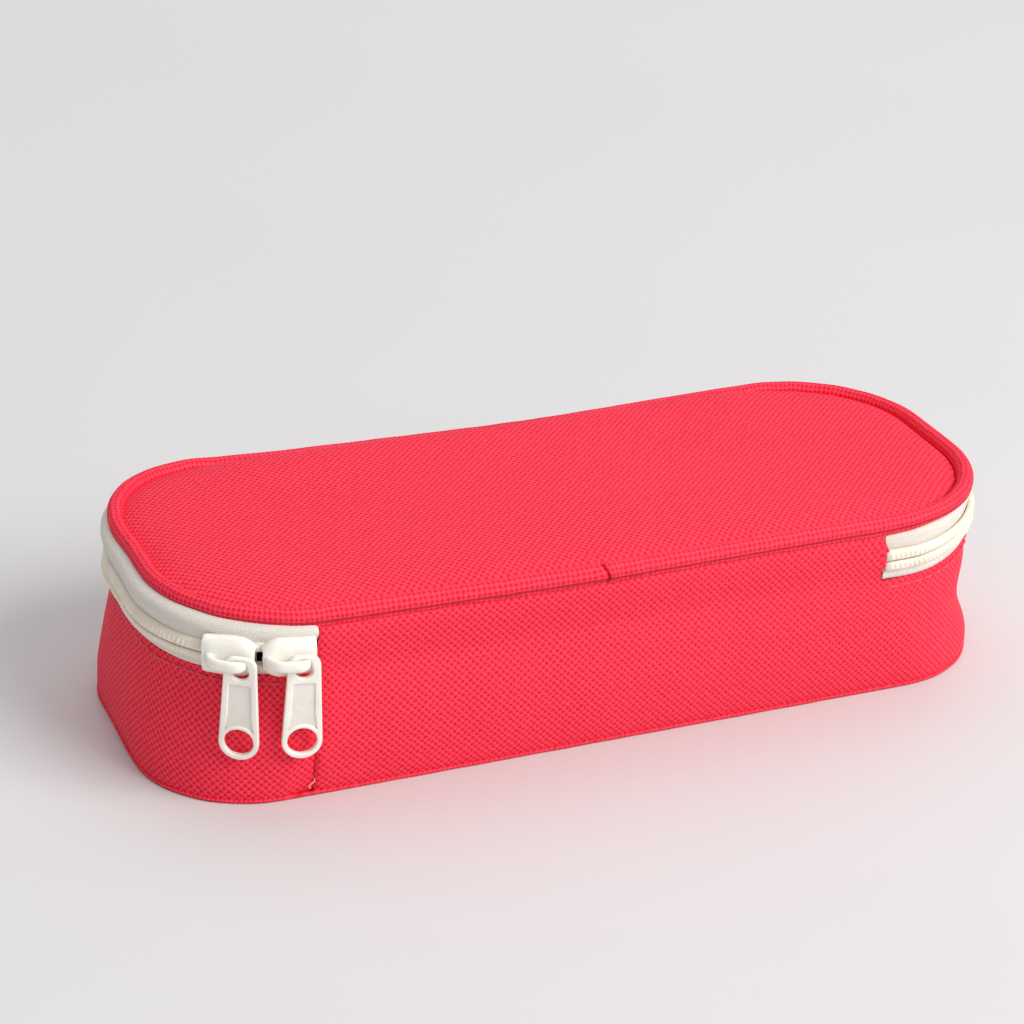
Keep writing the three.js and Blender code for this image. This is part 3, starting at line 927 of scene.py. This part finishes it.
def piping():
    """Bias fabric over a cord. Its two ends meet at the join, one tucked into the other."""
    near_join = [-4.0, -2.0, -0.5, -0.1, -0.03, 0.12, 0.4, 0.8, 1.4]
    finger = np.concatenate([near_join, np.arange(2.2, LAP - 8, 1.6)])
    finger_size = np.interp(
        finger, [-4, -0.1, -0.03, 0.12, 0.4, 0.8], [0.6, 0.7, 0.84, 0.93, 0.98, 1.0])
    finger_size[-2:] = 0.93, 0.88
    fuller = LAP - np.array([12.0, 9.6, 7.6, 5.8, 4.2, 2.8, 1.8, 1.2, 0.85, 0.65, 0.55, 0.5])
    fuller_size = np.array([0.9, 1.0, 1.01, 1.03, 1.05, 1.07, 1.08, 1.07, 1.04, 0.98, 0.88, 0.7])
    sides = 24
    parts = []
    for stations, size in ((finger, finger_size), (fuller, fuller_size)):
        uneven = 0.05 * ripple(stations, 60, 11) + 0.08 * ripple(stations, 9, 12)
        left = around(stations, T_LEFT - 18, 55)
        front = along_front(stations)
        half_height = PIPING_RADIUS + 0.55 * front
        middle = PIPING_TOP - 0.1 - half_height - 0.6 * around(stations, T_BACK, 62)
        across = (1.95 + 0.1 * front - 0.1 * left + uneven) * size
        section = ovals(PIPING_N - 0.7 * left, middle, across, (half_height + uneven) * size, sides)
        # The fabric's end is rounded: its middle reaches further along than its edges.
        reach = 1.1 * around(stations, 0, 3.0)[:, None]
        slip = -reach * (1 - abs(np.sin(angles(sides))) ** 1.5)
        parts.append(swept(stations, section, slip=slip))
    dress(join("piping_band", parts), PIPING_CLOTH, "lid", "lid_piping")


def base_roll():
    """The thin rolled seam where the walls meet the base."""
    stations = np.arange(0, LAP, 1.6)
    inset = foot_draw(stations) + 0.32 + waist(stations, 0.7)
    radius = 0.52 + 0.05 * ripple(stations, 50, 21)
    section = ovals(-inset, 0.56, radius, radius, 12)
    roll = make("base_seam_roll", *swept(stations, section, closed=True))
    dress(roll, PIPING_CLOTH, "case")


def tape(name, path_of, body, node):
    """Zip tape of even thickness. path_of gives its outer face as an (n, z) path at each
    station, from the bottom up. When body is None, it is attached to no body."""
    start, end = T_SEAM + 0.2, T_ZIP_END - 0.2
    near_ends = np.array([0.35, 0.7, 1.1])
    stations = np.sort(np.concatenate([
        stations_between(start, end, 1.5), start + near_ends, end - near_ends,
    ]))
    outer = path_of(stations)
    outer[..., 0] += 0.1 * ripple(stations, 30, 31)[:, None]
    ahead = np.gradient(outer, axis=1)
    ahead /= np.linalg.norm(ahead, axis=-1)[..., None]
    inwards = np.stack([-ahead[..., 1], ahead[..., 0]], axis=-1)
    inner = (outer + TAPE_THICKNESS * inwards)[:, ::-1]
    obj = make(name, *swept(stations, np.concatenate([outer, inner], axis=1)))
    round_edges(obj, 0.18)
    dress(obj, TAPE, body, node)
    return obj


TAPE_THICKNESS = 0.55
# The upper tape's face, as (n, z): flat along the front, bulging out round the left end.
FLAT_TAPE = np.array([
    (-1.0, 37.35), (-0.85, 38.1), (-0.6, 38.9), (-0.4, 39.8), (-0.3, 40.6), (-0.35, 41.3),
    (-0.7, 41.9), (-1.3, 42.4), (-2.0, 42.8),
])
BULGING_TAPE = np.array([
    (-1.0, 37.35), (-0.5, 38.2), (0.5, 39.3), (1.4, 40.4), (2.0, 41.5), (1.9, 42.6),
    (1.1, 43.4), (-0.1, 43.8), (-1.4, 43.9),
])


def upper_tape_path(t):
    """From behind the coil up and out, and in again under the piping."""
    left = around(t, T_LEFT - 14, 58)[:, None, None]
    path = FLAT_TAPE * (1 - left) + BULGING_TAPE * left
    # The corner at the front end is rounded where the tape is tucked in.
    tucked = 1.5 * np.exp(-(t - T_SEAM)[:, None] / 0.9)
    path[..., 1] -= tucked * np.linspace(0, 1, len(FLAT_TAPE)) ** 2
    return path


def lower_tape_path(t):
    """From deep behind the wall's edge up to the coil."""
    z = np.concatenate([
        np.linspace(25.2, WALL_TOP - 1, 5),
        np.linspace(WALL_TOP - 0.3, ZIP_MIDDLE - 1.2, 8),
    ])
    n = -1.95 + 1.75 * smooth(z, WALL_TOP - 0.7, WALL_TOP + 0.7)
    return np.tile(np.stack([n, z], axis=-1), (len(t), 1, 1))


SLIDER_TURNS = {"left": 30.9, "right": 9.5}
PARTED_HALF = 6.3  # half the length over which the rows stand apart
PARTED_MOST = 1.35


def parting(t):
    """How far the rows stand apart between the two sliders' wedges, at t."""
    turn = math.radians(sum(SLIDER_TURNS.values()) / 2)
    middle = T_SEAM + STRAIGHT_X + SEAM_X + TOP_CORNER * turn
    return PARTED_MOST * np.clip(1 - ((t - middle) / PARTED_HALF) ** 2, 0, 1)


def tooth(width, height, reach):
    """One loop of the coil: a rounded arch, (points, faces), x along, y out, z up."""
    rings, sides = 7, 8
    angle = angles(sides)
    along = np.linspace(-1, 1, rings)[:, None]
    swell = np.sqrt(np.clip(1 - along ** 4, 0, 1)) * 0.85 + 0.15
    x = (width / 2) * swell * np.cos(angle)
    y = (reach / 2) * swell * np.sin(angle) + 0.18 * (1 - along ** 2)
    z = np.broadcast_to(along * height / 2, x.shape)
    return np.stack([x, y, z], axis=-1).reshape(-1, 3), capped_faces(rings, sides)


def coil_row(name, direction, body, node):
    """One row of the coil: a padded ridge with a bead for every loop. direction is 1 for the
    upper row."""
    row_height, pitch = 2.05, 1.3
    centre = ZIP_MIDDLE + direction * (0.12 + row_height / 2)
    stations = np.arange(T_SEAM + 0.8, T_ZIP_END - 0.8, pitch)
    tooth_points, tooth_faces = tooth(1.2, row_height, 1.5)
    along, out, up = tooth_points.T
    t = stations[:, None] + along
    n = 0.05 + out + 0.08 * ripple(stations, 80, 41)[:, None]
    z = centre + direction * parting(stations)[:, None] + up
    beads = range(len(stations))
    faces = [[i + k * len(along) for i in face] for k in beads for face in tooth_faces]
    ridge_t = stations_between(T_SEAM + 0.4, T_ZIP_END - 0.4, 1.5)
    ridge = round_section(-0.75, 0.72, -row_height / 2 - 0.25, row_height / 2 - 0.05, 0.6)
    if direction > 0:
        ridge = (ridge * (1, -1))[::-1]
    sections = np.tile(ridge, (len(ridge_t), 1, 1))
    sections[..., 1] += centre + direction * parting(ridge_t)[:, None]
    loops = settle(place(t, n, z)), faces, np.stack([t, z], axis=-1)
    return dress(join(name, [loops, swept(ridge_t, sections)]), COIL, body, node)


def stitches():
    """The row of topstitches under the zip, lying on the wall."""
    length, gap, radius, inset = 2.7, 0.75, 0.24, 0.35
    sides = rings = 7
    along = np.linspace(0, 1, rings)
    dip = 4 * along * (1 - along)
    thin = radius * (0.35 + 0.65 * np.sqrt(dip))
    rng = np.random.default_rng(7)
    parts = []
    for start in np.arange(T_SEAM + 1.0, T_ZIP_END - 0.5 - length, length + gap):
        t = start + along * length
        tilt = rng.normal(0, 0.08)
        z = WALL_TOP - 1.9 + 0.15 * ripple(t, 40, 5) + tilt * (along - 0.5)
        n = wall_shape(t, z) + inset - 0.28 * (1 - dip)
        parts.append(swept(t, ovals(n, z, thin, thin * 1.25, sides)))
    dress(join("topstitch", parts), THREAD, "case")


def loose_thread():
    """A short end of thread left out of the upright seam."""
    t = T_SEAM + np.array([-0.04, -0.02, 0.01, 0.06, 0.12, 0.14, 0.1])
    n = np.array([-0.9, 0.0, 0.45, 0.6, 0.6, 0.55, 0.5])
    z = np.array([4.6, 4.4, 4.1, 3.8, 3.4, 2.9, 2.5])
    steps, sides = 24, 8
    path = curve_through(settle(place(t, n, z)), steps)
    run = np.repeat(np.linspace(0, 4, steps), sides)
    tube_mesh = tube(path, 0.34, 0.34, side_axis=(0, -1, 0), sides=sides)
    dress(make("loose_thread", *tube_mesh, np.stack([run, 0 * run], axis=-1)), LOOSE, "case")


def ribbon(name, stations, section, look, body, node, closed=False):
    """A piece of constant section inside the walls. It follows the sagged end."""
    section = np.broadcast_to(section, (len(stations),) + np.shape(section)[-2:]).copy()
    section[..., 0] -= np.maximum(waist(stations[:, None], section[..., 1]), 0)
    dress(make(name, *swept(stations, section, closed)), look, body, node)


def lining_section(top, cover):
    """A lining whose top edge is turned out over the padding, as far as cover."""
    heights = np.linspace(4.3, top, 9)
    inner = [(-4.5 + 0.12 * math.sin(z * 0.5), z) for z in heights]
    turned = [(-4.0, top + 0.15), (cover, top + 0.1), (cover, top - 0.5), (-3.9, top - 0.6)]
    outer = [(-3.95, z) for z in heights[-2::-1]]
    return np.array(inner + turned + outer)[::-1]


def inside():
    """The linings, the piping's cord and the tapes that bind the raw seams inside."""
    lap = np.arange(0, LAP, 2.0)
    zip_run = stations_between(T_SEAM + 0.3, T_ZIP_END - 0.3, 2.0)
    hinge_run = stations_between(T_ZIP_END + 0.3, LAP + T_SEAM - 0.3, 2.0)
    ribbon("side_lining_fabric", zip_run, lining_section(30.5, -1.95),
           LINING, "case", "side_lining")
    ribbon("hinge_lining_fabric", hinge_run, lining_section(37.2, -1.0),
           LINING, "case", "hinge_lining")
    core = round_section(PIPING_N - 1.1, PIPING_N + 0.9, 43.1, 45.1, 0.98)
    ribbon("piping_core", lap, core, CORD, "lid", "lid_piping_cord", closed=True)
    for name, body, node, n_low, n_high in (
        ("base_binding", "case", "bottom_seam_binding", -6.0, -4.8),
        ("lid_binding", "lid", "lid_seam_binding", -5.1, -3.9),
    ):
        low, high = box_mm(node)
        section = round_section(n_low, n_high, low[2], high[2], 0.5)
        ribbon(name, lap, section, BINDING, body, node, closed=True)
    for side, middle_t in (("left", T_SEAM - 3.6), ("right", T_ZIP_END + 3.6)):
        node = f"{side}_seam_binding"
        low, high = box_mm(node)
        across = np.linspace(-1, 1, 9)
        sections = np.tile(round_section(-6.0, -4.8, low[2], high[2], 0.5), (9, 1, 1))
        swell = 0.65 + 0.35 * (1 - across ** 4)
        sections[..., 0] = -4.8 + (sections[..., 0] + 4.8) * swell[:, None]
        ribbon(f"{side}_binding", middle_t + 4 * across, sections, BINDING, "case", node)


# ---- Sliders and pulls ----

ARC_CENTRE = np.array([-STRAIGHT_X, -STRAIGHT_Y, 0.0])
HALF_SLIDER = 6.0
POST_ALONG = 3.0
POST_Z = ZIP_MIDDLE - 0.1
SKIRT_Y = -0.55  # where the front plate's edges reach in to
BACK_PLATE_Y = -2.65
# The bridge's path from its foot to its post, as (along, out)
BRIDGE = [(-4.3, 0.4), (-4.35, 1.7), (-3.8, 3.4), (-2.4, 4.7), (0.0, 5.2), (2.0, 5.25),
          (3.35, 4.6), (3.45, 3.4), (3.0, 1.6)]


def on_slider(side, points):
    """From a slider's own frame (x along the zip, y out from the wall, z up) to the case's."""
    x, y, z = np.reshape(points, (-1, 3)).T
    turn = math.radians(SLIDER_TURNS[side])
    cos, sin = math.cos(turn), math.sin(turn)
    reach = TOP_CORNER + y
    return np.stack([x * cos - reach * sin, -x * sin - reach * cos, z], axis=-1) + ARC_CENTRE


def shell_arch(head):
    """The slider's front: a cast arch over the coil, rounded at the head, square at the tail.
    head is +1 when the head is towards +x. Gives an open sheet (points, faces)."""
    # along runs from the head's nose (-1) to the tail (+1).
    along = np.concatenate([[-0.94, -0.92, -0.87, -0.8], np.linspace(-0.7, 0.9, 15), [0.97, 1.0]])
    along = along[:, None]
    shoulder = np.clip((along + 1) / 0.75, 0, 1)
    half_height = 1.9 + 2.9 * np.sin(shoulder * math.pi / 2) ** 0.75
    half_height = half_height - 0.4 * smooth(along, -0.1, 0.85)
    half_height = half_height * (1 - 0.05 * smooth(along, 0.88, 1.0))
    nose = np.clip(-along - 0.45, 0, 1) / 0.58
    crown = 1.15 + 1.35 * np.sqrt(np.clip(1 - nose ** 2, 0, 1))
    crown = crown - 0.35 * smooth(along, 0.55, 1.0) ** 2
    angle = np.linspace(-1, 1, 21) * math.pi / 2
    z = ZIP_MIDDLE + half_height * signed_power(np.sin(angle), 0.68)
    y = SKIRT_Y + (crown - SKIRT_Y) * signed_power(np.cos(angle), 0.68)
    x = np.broadcast_to(-head * along * HALF_SLIDER, z.shape)
    faces = grid_faces(*z.shape)
    return np.stack([x, y, z], axis=-1), flipped(faces) if head < 0 else faces


def tube(path, width, depth, side_axis=(0, 0, 1), sides=14):
    """A bar along a path with an oval section: width along side_axis, depth across it."""
    path = np.asarray(path, float)
    width, depth = (np.broadcast_to(v, len(path))[:, None, None] / 2 for v in (width, depth))
    ahead = np.gradient(path, axis=0)
    ahead /= np.linalg.norm(ahead, axis=1)[:, None]
    side = np.array(side_axis, float)
    other = np.cross(ahead, side)
    other /= np.linalg.norm(other, axis=1)[:, None]
    cos, sin = (signed_power(f(angles(sides)), 0.85)[:, None] for f in (np.cos, np.sin))
    rings = path[:, None] + side * width * cos + other[:, None] * depth * sin
    return rings.reshape(-1, 3), capped_faces(len(path), sides)


def curve_through(knots, count):
    """A smooth path through knots (Catmull-Rom)."""
    knots = np.asarray(knots, float)
    padded = np.concatenate([[2 * knots[0] - knots[1]], knots, [2 * knots[-1] - knots[-2]]])
    u = np.linspace(0, len(knots) - 1 - 1e-6, count)
    i = u.astype(int)
    f = (u - i)[:, None]
    a, b, c, d = (padded[i + k] for k in range(4))
    return 0.5 * (2 * b + (c - a) * f + (2 * a - 5 * b + 4 * c - d) * f ** 2
                  + (3 * b - a - 3 * c + d) * f ** 3)


def back_plate(head):
    """The plate behind the tapes: a slightly domed casting with rounded edges."""
    along = np.concatenate([[-1.0, -0.97, -0.9], np.linspace(-0.78, 0.9, 12), [0.97, 1.0]])
    along = along[:, None]
    shoulder = np.clip((along + 1) / 0.5, 0, 1)
    half_height = 2.2 + 2.4 * np.sin(shoulder * math.pi / 2) ** 0.8
    half_height = half_height - 0.9 * smooth(along, -0.3, 0.85)
    taper = np.sqrt(np.clip(1 - abs(along) ** 14, 0, 1)) * 0.9 + 0.1
    angle = angles(20)
    z = ZIP_MIDDLE + half_height * signed_power(np.cos(angle), 0.35)
    y = BACK_PLATE_Y + 0.72 * taper * signed_power(np.sin(angle), 0.6)
    x = np.broadcast_to(-head * along * HALF_SLIDER * 0.84, z.shape)
    return np.stack([x, y, z], axis=-1), capped_faces(*z.shape)


def bridge():
    """It rises from the plate in a broad foot, runs along and dips through the pull's ring."""
    steps = 44
    path = curve_through([(x, y, POST_Z) for x, y in BRIDGE], steps)
    share = np.linspace(0, 1, steps)
    width = 3.0 - 0.3 * smooth(share, 0.05, 0.4) - 0.8 * smooth(share, 0.66, 0.84)
    depth = 2.6 - 1.0 * smooth(share, 0.0, 0.42) + 0.2 * smooth(share, 0.7, 0.95)
    return tube(path, width, depth, sides=18)


def slider(side):
    head = 1 if side == "left" else -1
    wedge_path = [(head * 3.1, y, ZIP_MIDDLE) for y in np.linspace(-2.4, 1.9, 6)]
    pieces = []
    for name, (points, faces) in (
        ("front", shell_arch(head)),
        ("bridge", bridge()),
        ("back", back_plate(head)),
        ("wedge", tube(wedge_path, 1.5, 3.4, sides=12)),
    ):
        obj = make(f"{side}_slider_{name}", on_slider(side, points), faces)
        if name == "front":
            thicken(obj, 0.85, 0.3)
        weld(obj)
        pieces.append(obj)
    body = combine(f"{side}_slider", pieces)
    dress(body, ENAMEL, f"{side}_slider", f"{side}_slider_body")


def combine(name, objects):
    """Joins objects into one."""
    mesh = bpy.data.meshes.new(name)
    with editing(mesh) as edit:
        for obj in objects:
            edit.from_mesh(obj.data)
    for obj in objects:
        discard(obj)
    mesh.shade_smooth()
    return show(bpy.data.objects.new(name, mesh))


# The pull's outline is measured from its post: x across it, z up.
PULL_TILTS = {"left": -2.3, "right": -1.4}  # how far it hangs from upright in the wall's plane
PULL_LEAN = 2.5  # how far it leans out from the wall
PULL_HALF_TOP = 3.55
PULL_TOP_CORNER = 2.3
PULL_RISE = 1.85
PULL_END_RADIUS = 4.45
PULL_END_Z = 2.1 + PULL_END_RADIUS - 26.0
PULL_HOLE = 3.25
PULL_THICKNESS = 1.3
PULL_BEVEL = 0.32
PULL_Y = 3.1 + PULL_THICKNESS / 2
PANEL_TOP = -5.0
PANEL_THICKNESS = 0.62
PANEL_BEVEL = 0.05


def circle(x, z, radius, count=40, start=0.0, end=360.0):
    """Points round a circle or an arc, anticlockwise from start to end in degrees."""
    angle = np.radians(np.linspace(start, end, count, endpoint=end - start < 360))
    return [(x + radius * math.cos(a), z + radius * math.sin(a)) for a in angle]


def rounded_shape(corners, radii, steps=6):
    """A polygon with rounded corners."""
    corners = [np.array(c, float) for c in corners]
    points = []
    for i, corner in enumerate(corners):
        before = corners[i - 1] - corner
        after = corners[(i + 1) % len(corners)] - corner
        before /= np.linalg.norm(before)
        after /= np.linalg.norm(after)
        opening = math.acos(float(np.clip(before @ after, -1, 1)))
        back = radii[i] / math.tan(opening / 2)
        start, end = corner + before * back, corner + after * back
        for step in range(steps + 1):
            s = step / steps
            points.append(tuple((1 - s) ** 2 * start + 2 * s * (1 - s) * corner + s ** 2 * end))
    return points


def flat_casting(name, outlines, thickness, bevel):
    """A plate cut from (x, z) outlines, with rounded edges: points and faces."""
    curve = bpy.data.curves.new(name, "CURVE")
    curve.dimensions = "2D"
    curve.fill_mode = "BOTH"
    curve.extrude = (thickness / 2 - bevel) * MM
    curve.bevel_depth = bevel * MM
    curve.bevel_resolution = 3
    curve.offset = -bevel * MM
    for shape in outlines:
        spline = curve.splines.new("POLY")
        spline.points.add(len(shape) - 1)
        for point, (x, z) in zip(spline.points, shape):
            point.co = (x * MM, z * MM, 0, 1)
        spline.use_cyclic_u = True
    obj = show(bpy.data.objects.new(name, curve))
    mesh = evaluated_mesh(obj)
    bpy.data.objects.remove(obj)
    points = vertices(mesh)[:, [0, 2, 1]]
    faces = [list(polygon.vertices) for polygon in mesh.polygons]
    bpy.data.meshes.remove(mesh)
    return points, faces


def hang(side, points):
    """From the pull's own plane to the slider's frame."""
    tilt, lean = math.radians(PULL_TILTS[side]), math.radians(PULL_LEAN)
    x, y, z = points.T
    turned_x = x * math.cos(tilt) - z * math.sin(tilt)
    hung_z = x * math.sin(tilt) + z * math.cos(tilt)
    turned_y = y * math.cos(lean) + hung_z * math.sin(lean)
    turned_z = hung_z * math.cos(lean) - y * math.sin(lean)
    return np.stack([turned_x + POST_ALONG, turned_y + PULL_Y, turned_z + POST_Z], axis=-1)


def pull(side):
    """A cast pull: a raised rim round a sunk panel, a ring at the top and a hole at the end."""
    corner_x, corner_z = PULL_HALF_TOP - PULL_TOP_CORNER, PULL_RISE - PULL_TOP_CORNER
    edge = (circle(corner_x, corner_z, PULL_TOP_CORNER, 10, 0, 90)
            + circle(-corner_x, corner_z, PULL_TOP_CORNER, 10, 90, 180)
            + circle(0, PULL_END_Z, PULL_END_RADIUS, 28, 180, 360))
    ring = circle(0, -0.55, 1.65, 14, 0, 180) + circle(0, -1.75, 1.95, 16, 180, 360)
    hole = circle(0, PULL_END_Z, PULL_HOLE)
    # The sunk panel ends in an arc round the rim of the end hole.
    corners = [(-2.55, -12), (-2.35, PANEL_TOP), (2.35, PANEL_TOP), (2.55, -12)]
    panel = (rounded_shape(corners, [0.1, 0.5, 0.5, 0.1])
             + circle(0, PULL_END_Z, PULL_HOLE + 0.95, 14, 42, 138))
    floor = ([(-2.9, PANEL_TOP + 0.45), (2.9, PANEL_TOP + 0.45)]
             + circle(0, PULL_END_Z, PULL_HOLE + 0.5, 14, 38, 142))
    holed = [edge, ring, hole, panel]
    for name, shapes, thickness, bevel, look, nodes in (
        ("casting", holed, PULL_THICKNESS, PULL_BEVEL, ENAMEL, [f"{side}_pull"]),
        # The sunk panel gets the darker enamel, painted shade for its recess.
        ("panel", [floor], PANEL_THICKNESS, PANEL_BEVEL, ENAMEL_SHADED, []),
    ):
        points, faces = flat_casting(name, shapes, thickness, bevel)
        obj = make(f"{side}_pull_{name}", on_slider(side, hang(side, points)), faces)
        weld(obj, 0.01)
        obj.data.set_sharp_from_angle(angle=SHARP_CASTING_EDGE)
        dress(obj, look, f"{side}_pull", *nodes)


# ---- Assembly ----

wall_cover()
base_roll()
flat_pads()
lid_pad()
piping()
inside()

upper_tape = tape("upper_zip_tape", upper_tape_path, None, "zip_tape_upper")
tape("lower_zip_tape", lower_tape_path, "case", "zip_tape_lower")
upper_coil = coil_row("upper_zip_coil", 1, None, "zip_coil_upper")
coil_row("lower_zip_coil", -1, "case", "zip_coil_lower")
for piece in (upper_tape, upper_coil):
    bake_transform(piece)

stitches()
loose_thread()

for side in ("left", "right"):
    slider(side)
    pull(side)

# ---- Floor, lights and camera ----

CASE_MIDDLE = (0, 0, 0.02)
LIGHTS = (
    # name, watts, size, place, target, in metres
    ("key", 21.0, (0.9, 0.9), (0.75, -0.9, 1.0), CASE_MIDDLE),
    ("top", 9.3, (1.6, 1.6), (0.2, 0.8, 1.6), (0, 0.3, 0)),
    ("fill", 2.5, (1.4, 1.0), (-0.5, -1.3, 0.8), CASE_MIDDLE),
)
CAMERA_LENS = 100.15
CAMERA_TURNS = (-23.068, 26.256, 1.983)  # azimuth, elevation and roll
# The camera seen from the case's origin, in its own axes: right, up, back
CAMERA_PLACE = (-7.135, 35.207, 684.109)


def plain_floor():
    steps = np.linspace(-2500, 2500, 41)
    x, y = np.meshgrid(steps, steps, indexing="ij")
    points = np.stack([x, y, np.full(x.shape, -0.02)], axis=-1)
    floor = make("studio_floor", points, flipped(grid_faces(*x.shape)))
    floor.data.materials.append(floor_finish())


def area_light(name, energy, size, location, target):
    data = bpy.data.lights.new(name, "AREA")
    data.shape = "RECTANGLE"
    data.size, data.size_y = size
    data.energy = energy
    obj = show(bpy.data.objects.new(name, data))
    obj.location = location
    direction = Vector(target) - Vector(location)
    obj.rotation_euler = direction.to_track_quat("-Z", "Y").to_euler()


def studio():
    plain_floor()
    for light in LIGHTS:
        area_light(*light)
    world = bpy.data.worlds.new("studio")
    world.use_nodes = True
    background = world.node_tree.nodes["Background"]
    background.inputs["Color"].default_value = (0.95, 0.96, 1.0, 1)
    background.inputs["Strength"].default_value = 0.42
    bpy.context.scene.world = world
    bpy.context.scene.view_settings.view_transform = "Standard"


def camera():
    data = bpy.data.cameras.new("camera")
    data.sensor_width = 36
    data.lens = CAMERA_LENS
    azimuth, elevation, roll = (math.radians(angle) for angle in CAMERA_TURNS)
    turn = (Matrix.Rotation(azimuth, 4, "Z")
            @ Matrix.Rotation(math.pi / 2 - elevation, 4, "X")
            @ Matrix.Rotation(roll, 4, "Z"))
    obj = show(bpy.data.objects.new("camera", data))
    obj.matrix_world = Matrix.Translation(turn @ (Vector(CAMERA_PLACE) * MM)) @ turn
    bpy.context.scene.camera = obj


studio()
camera()
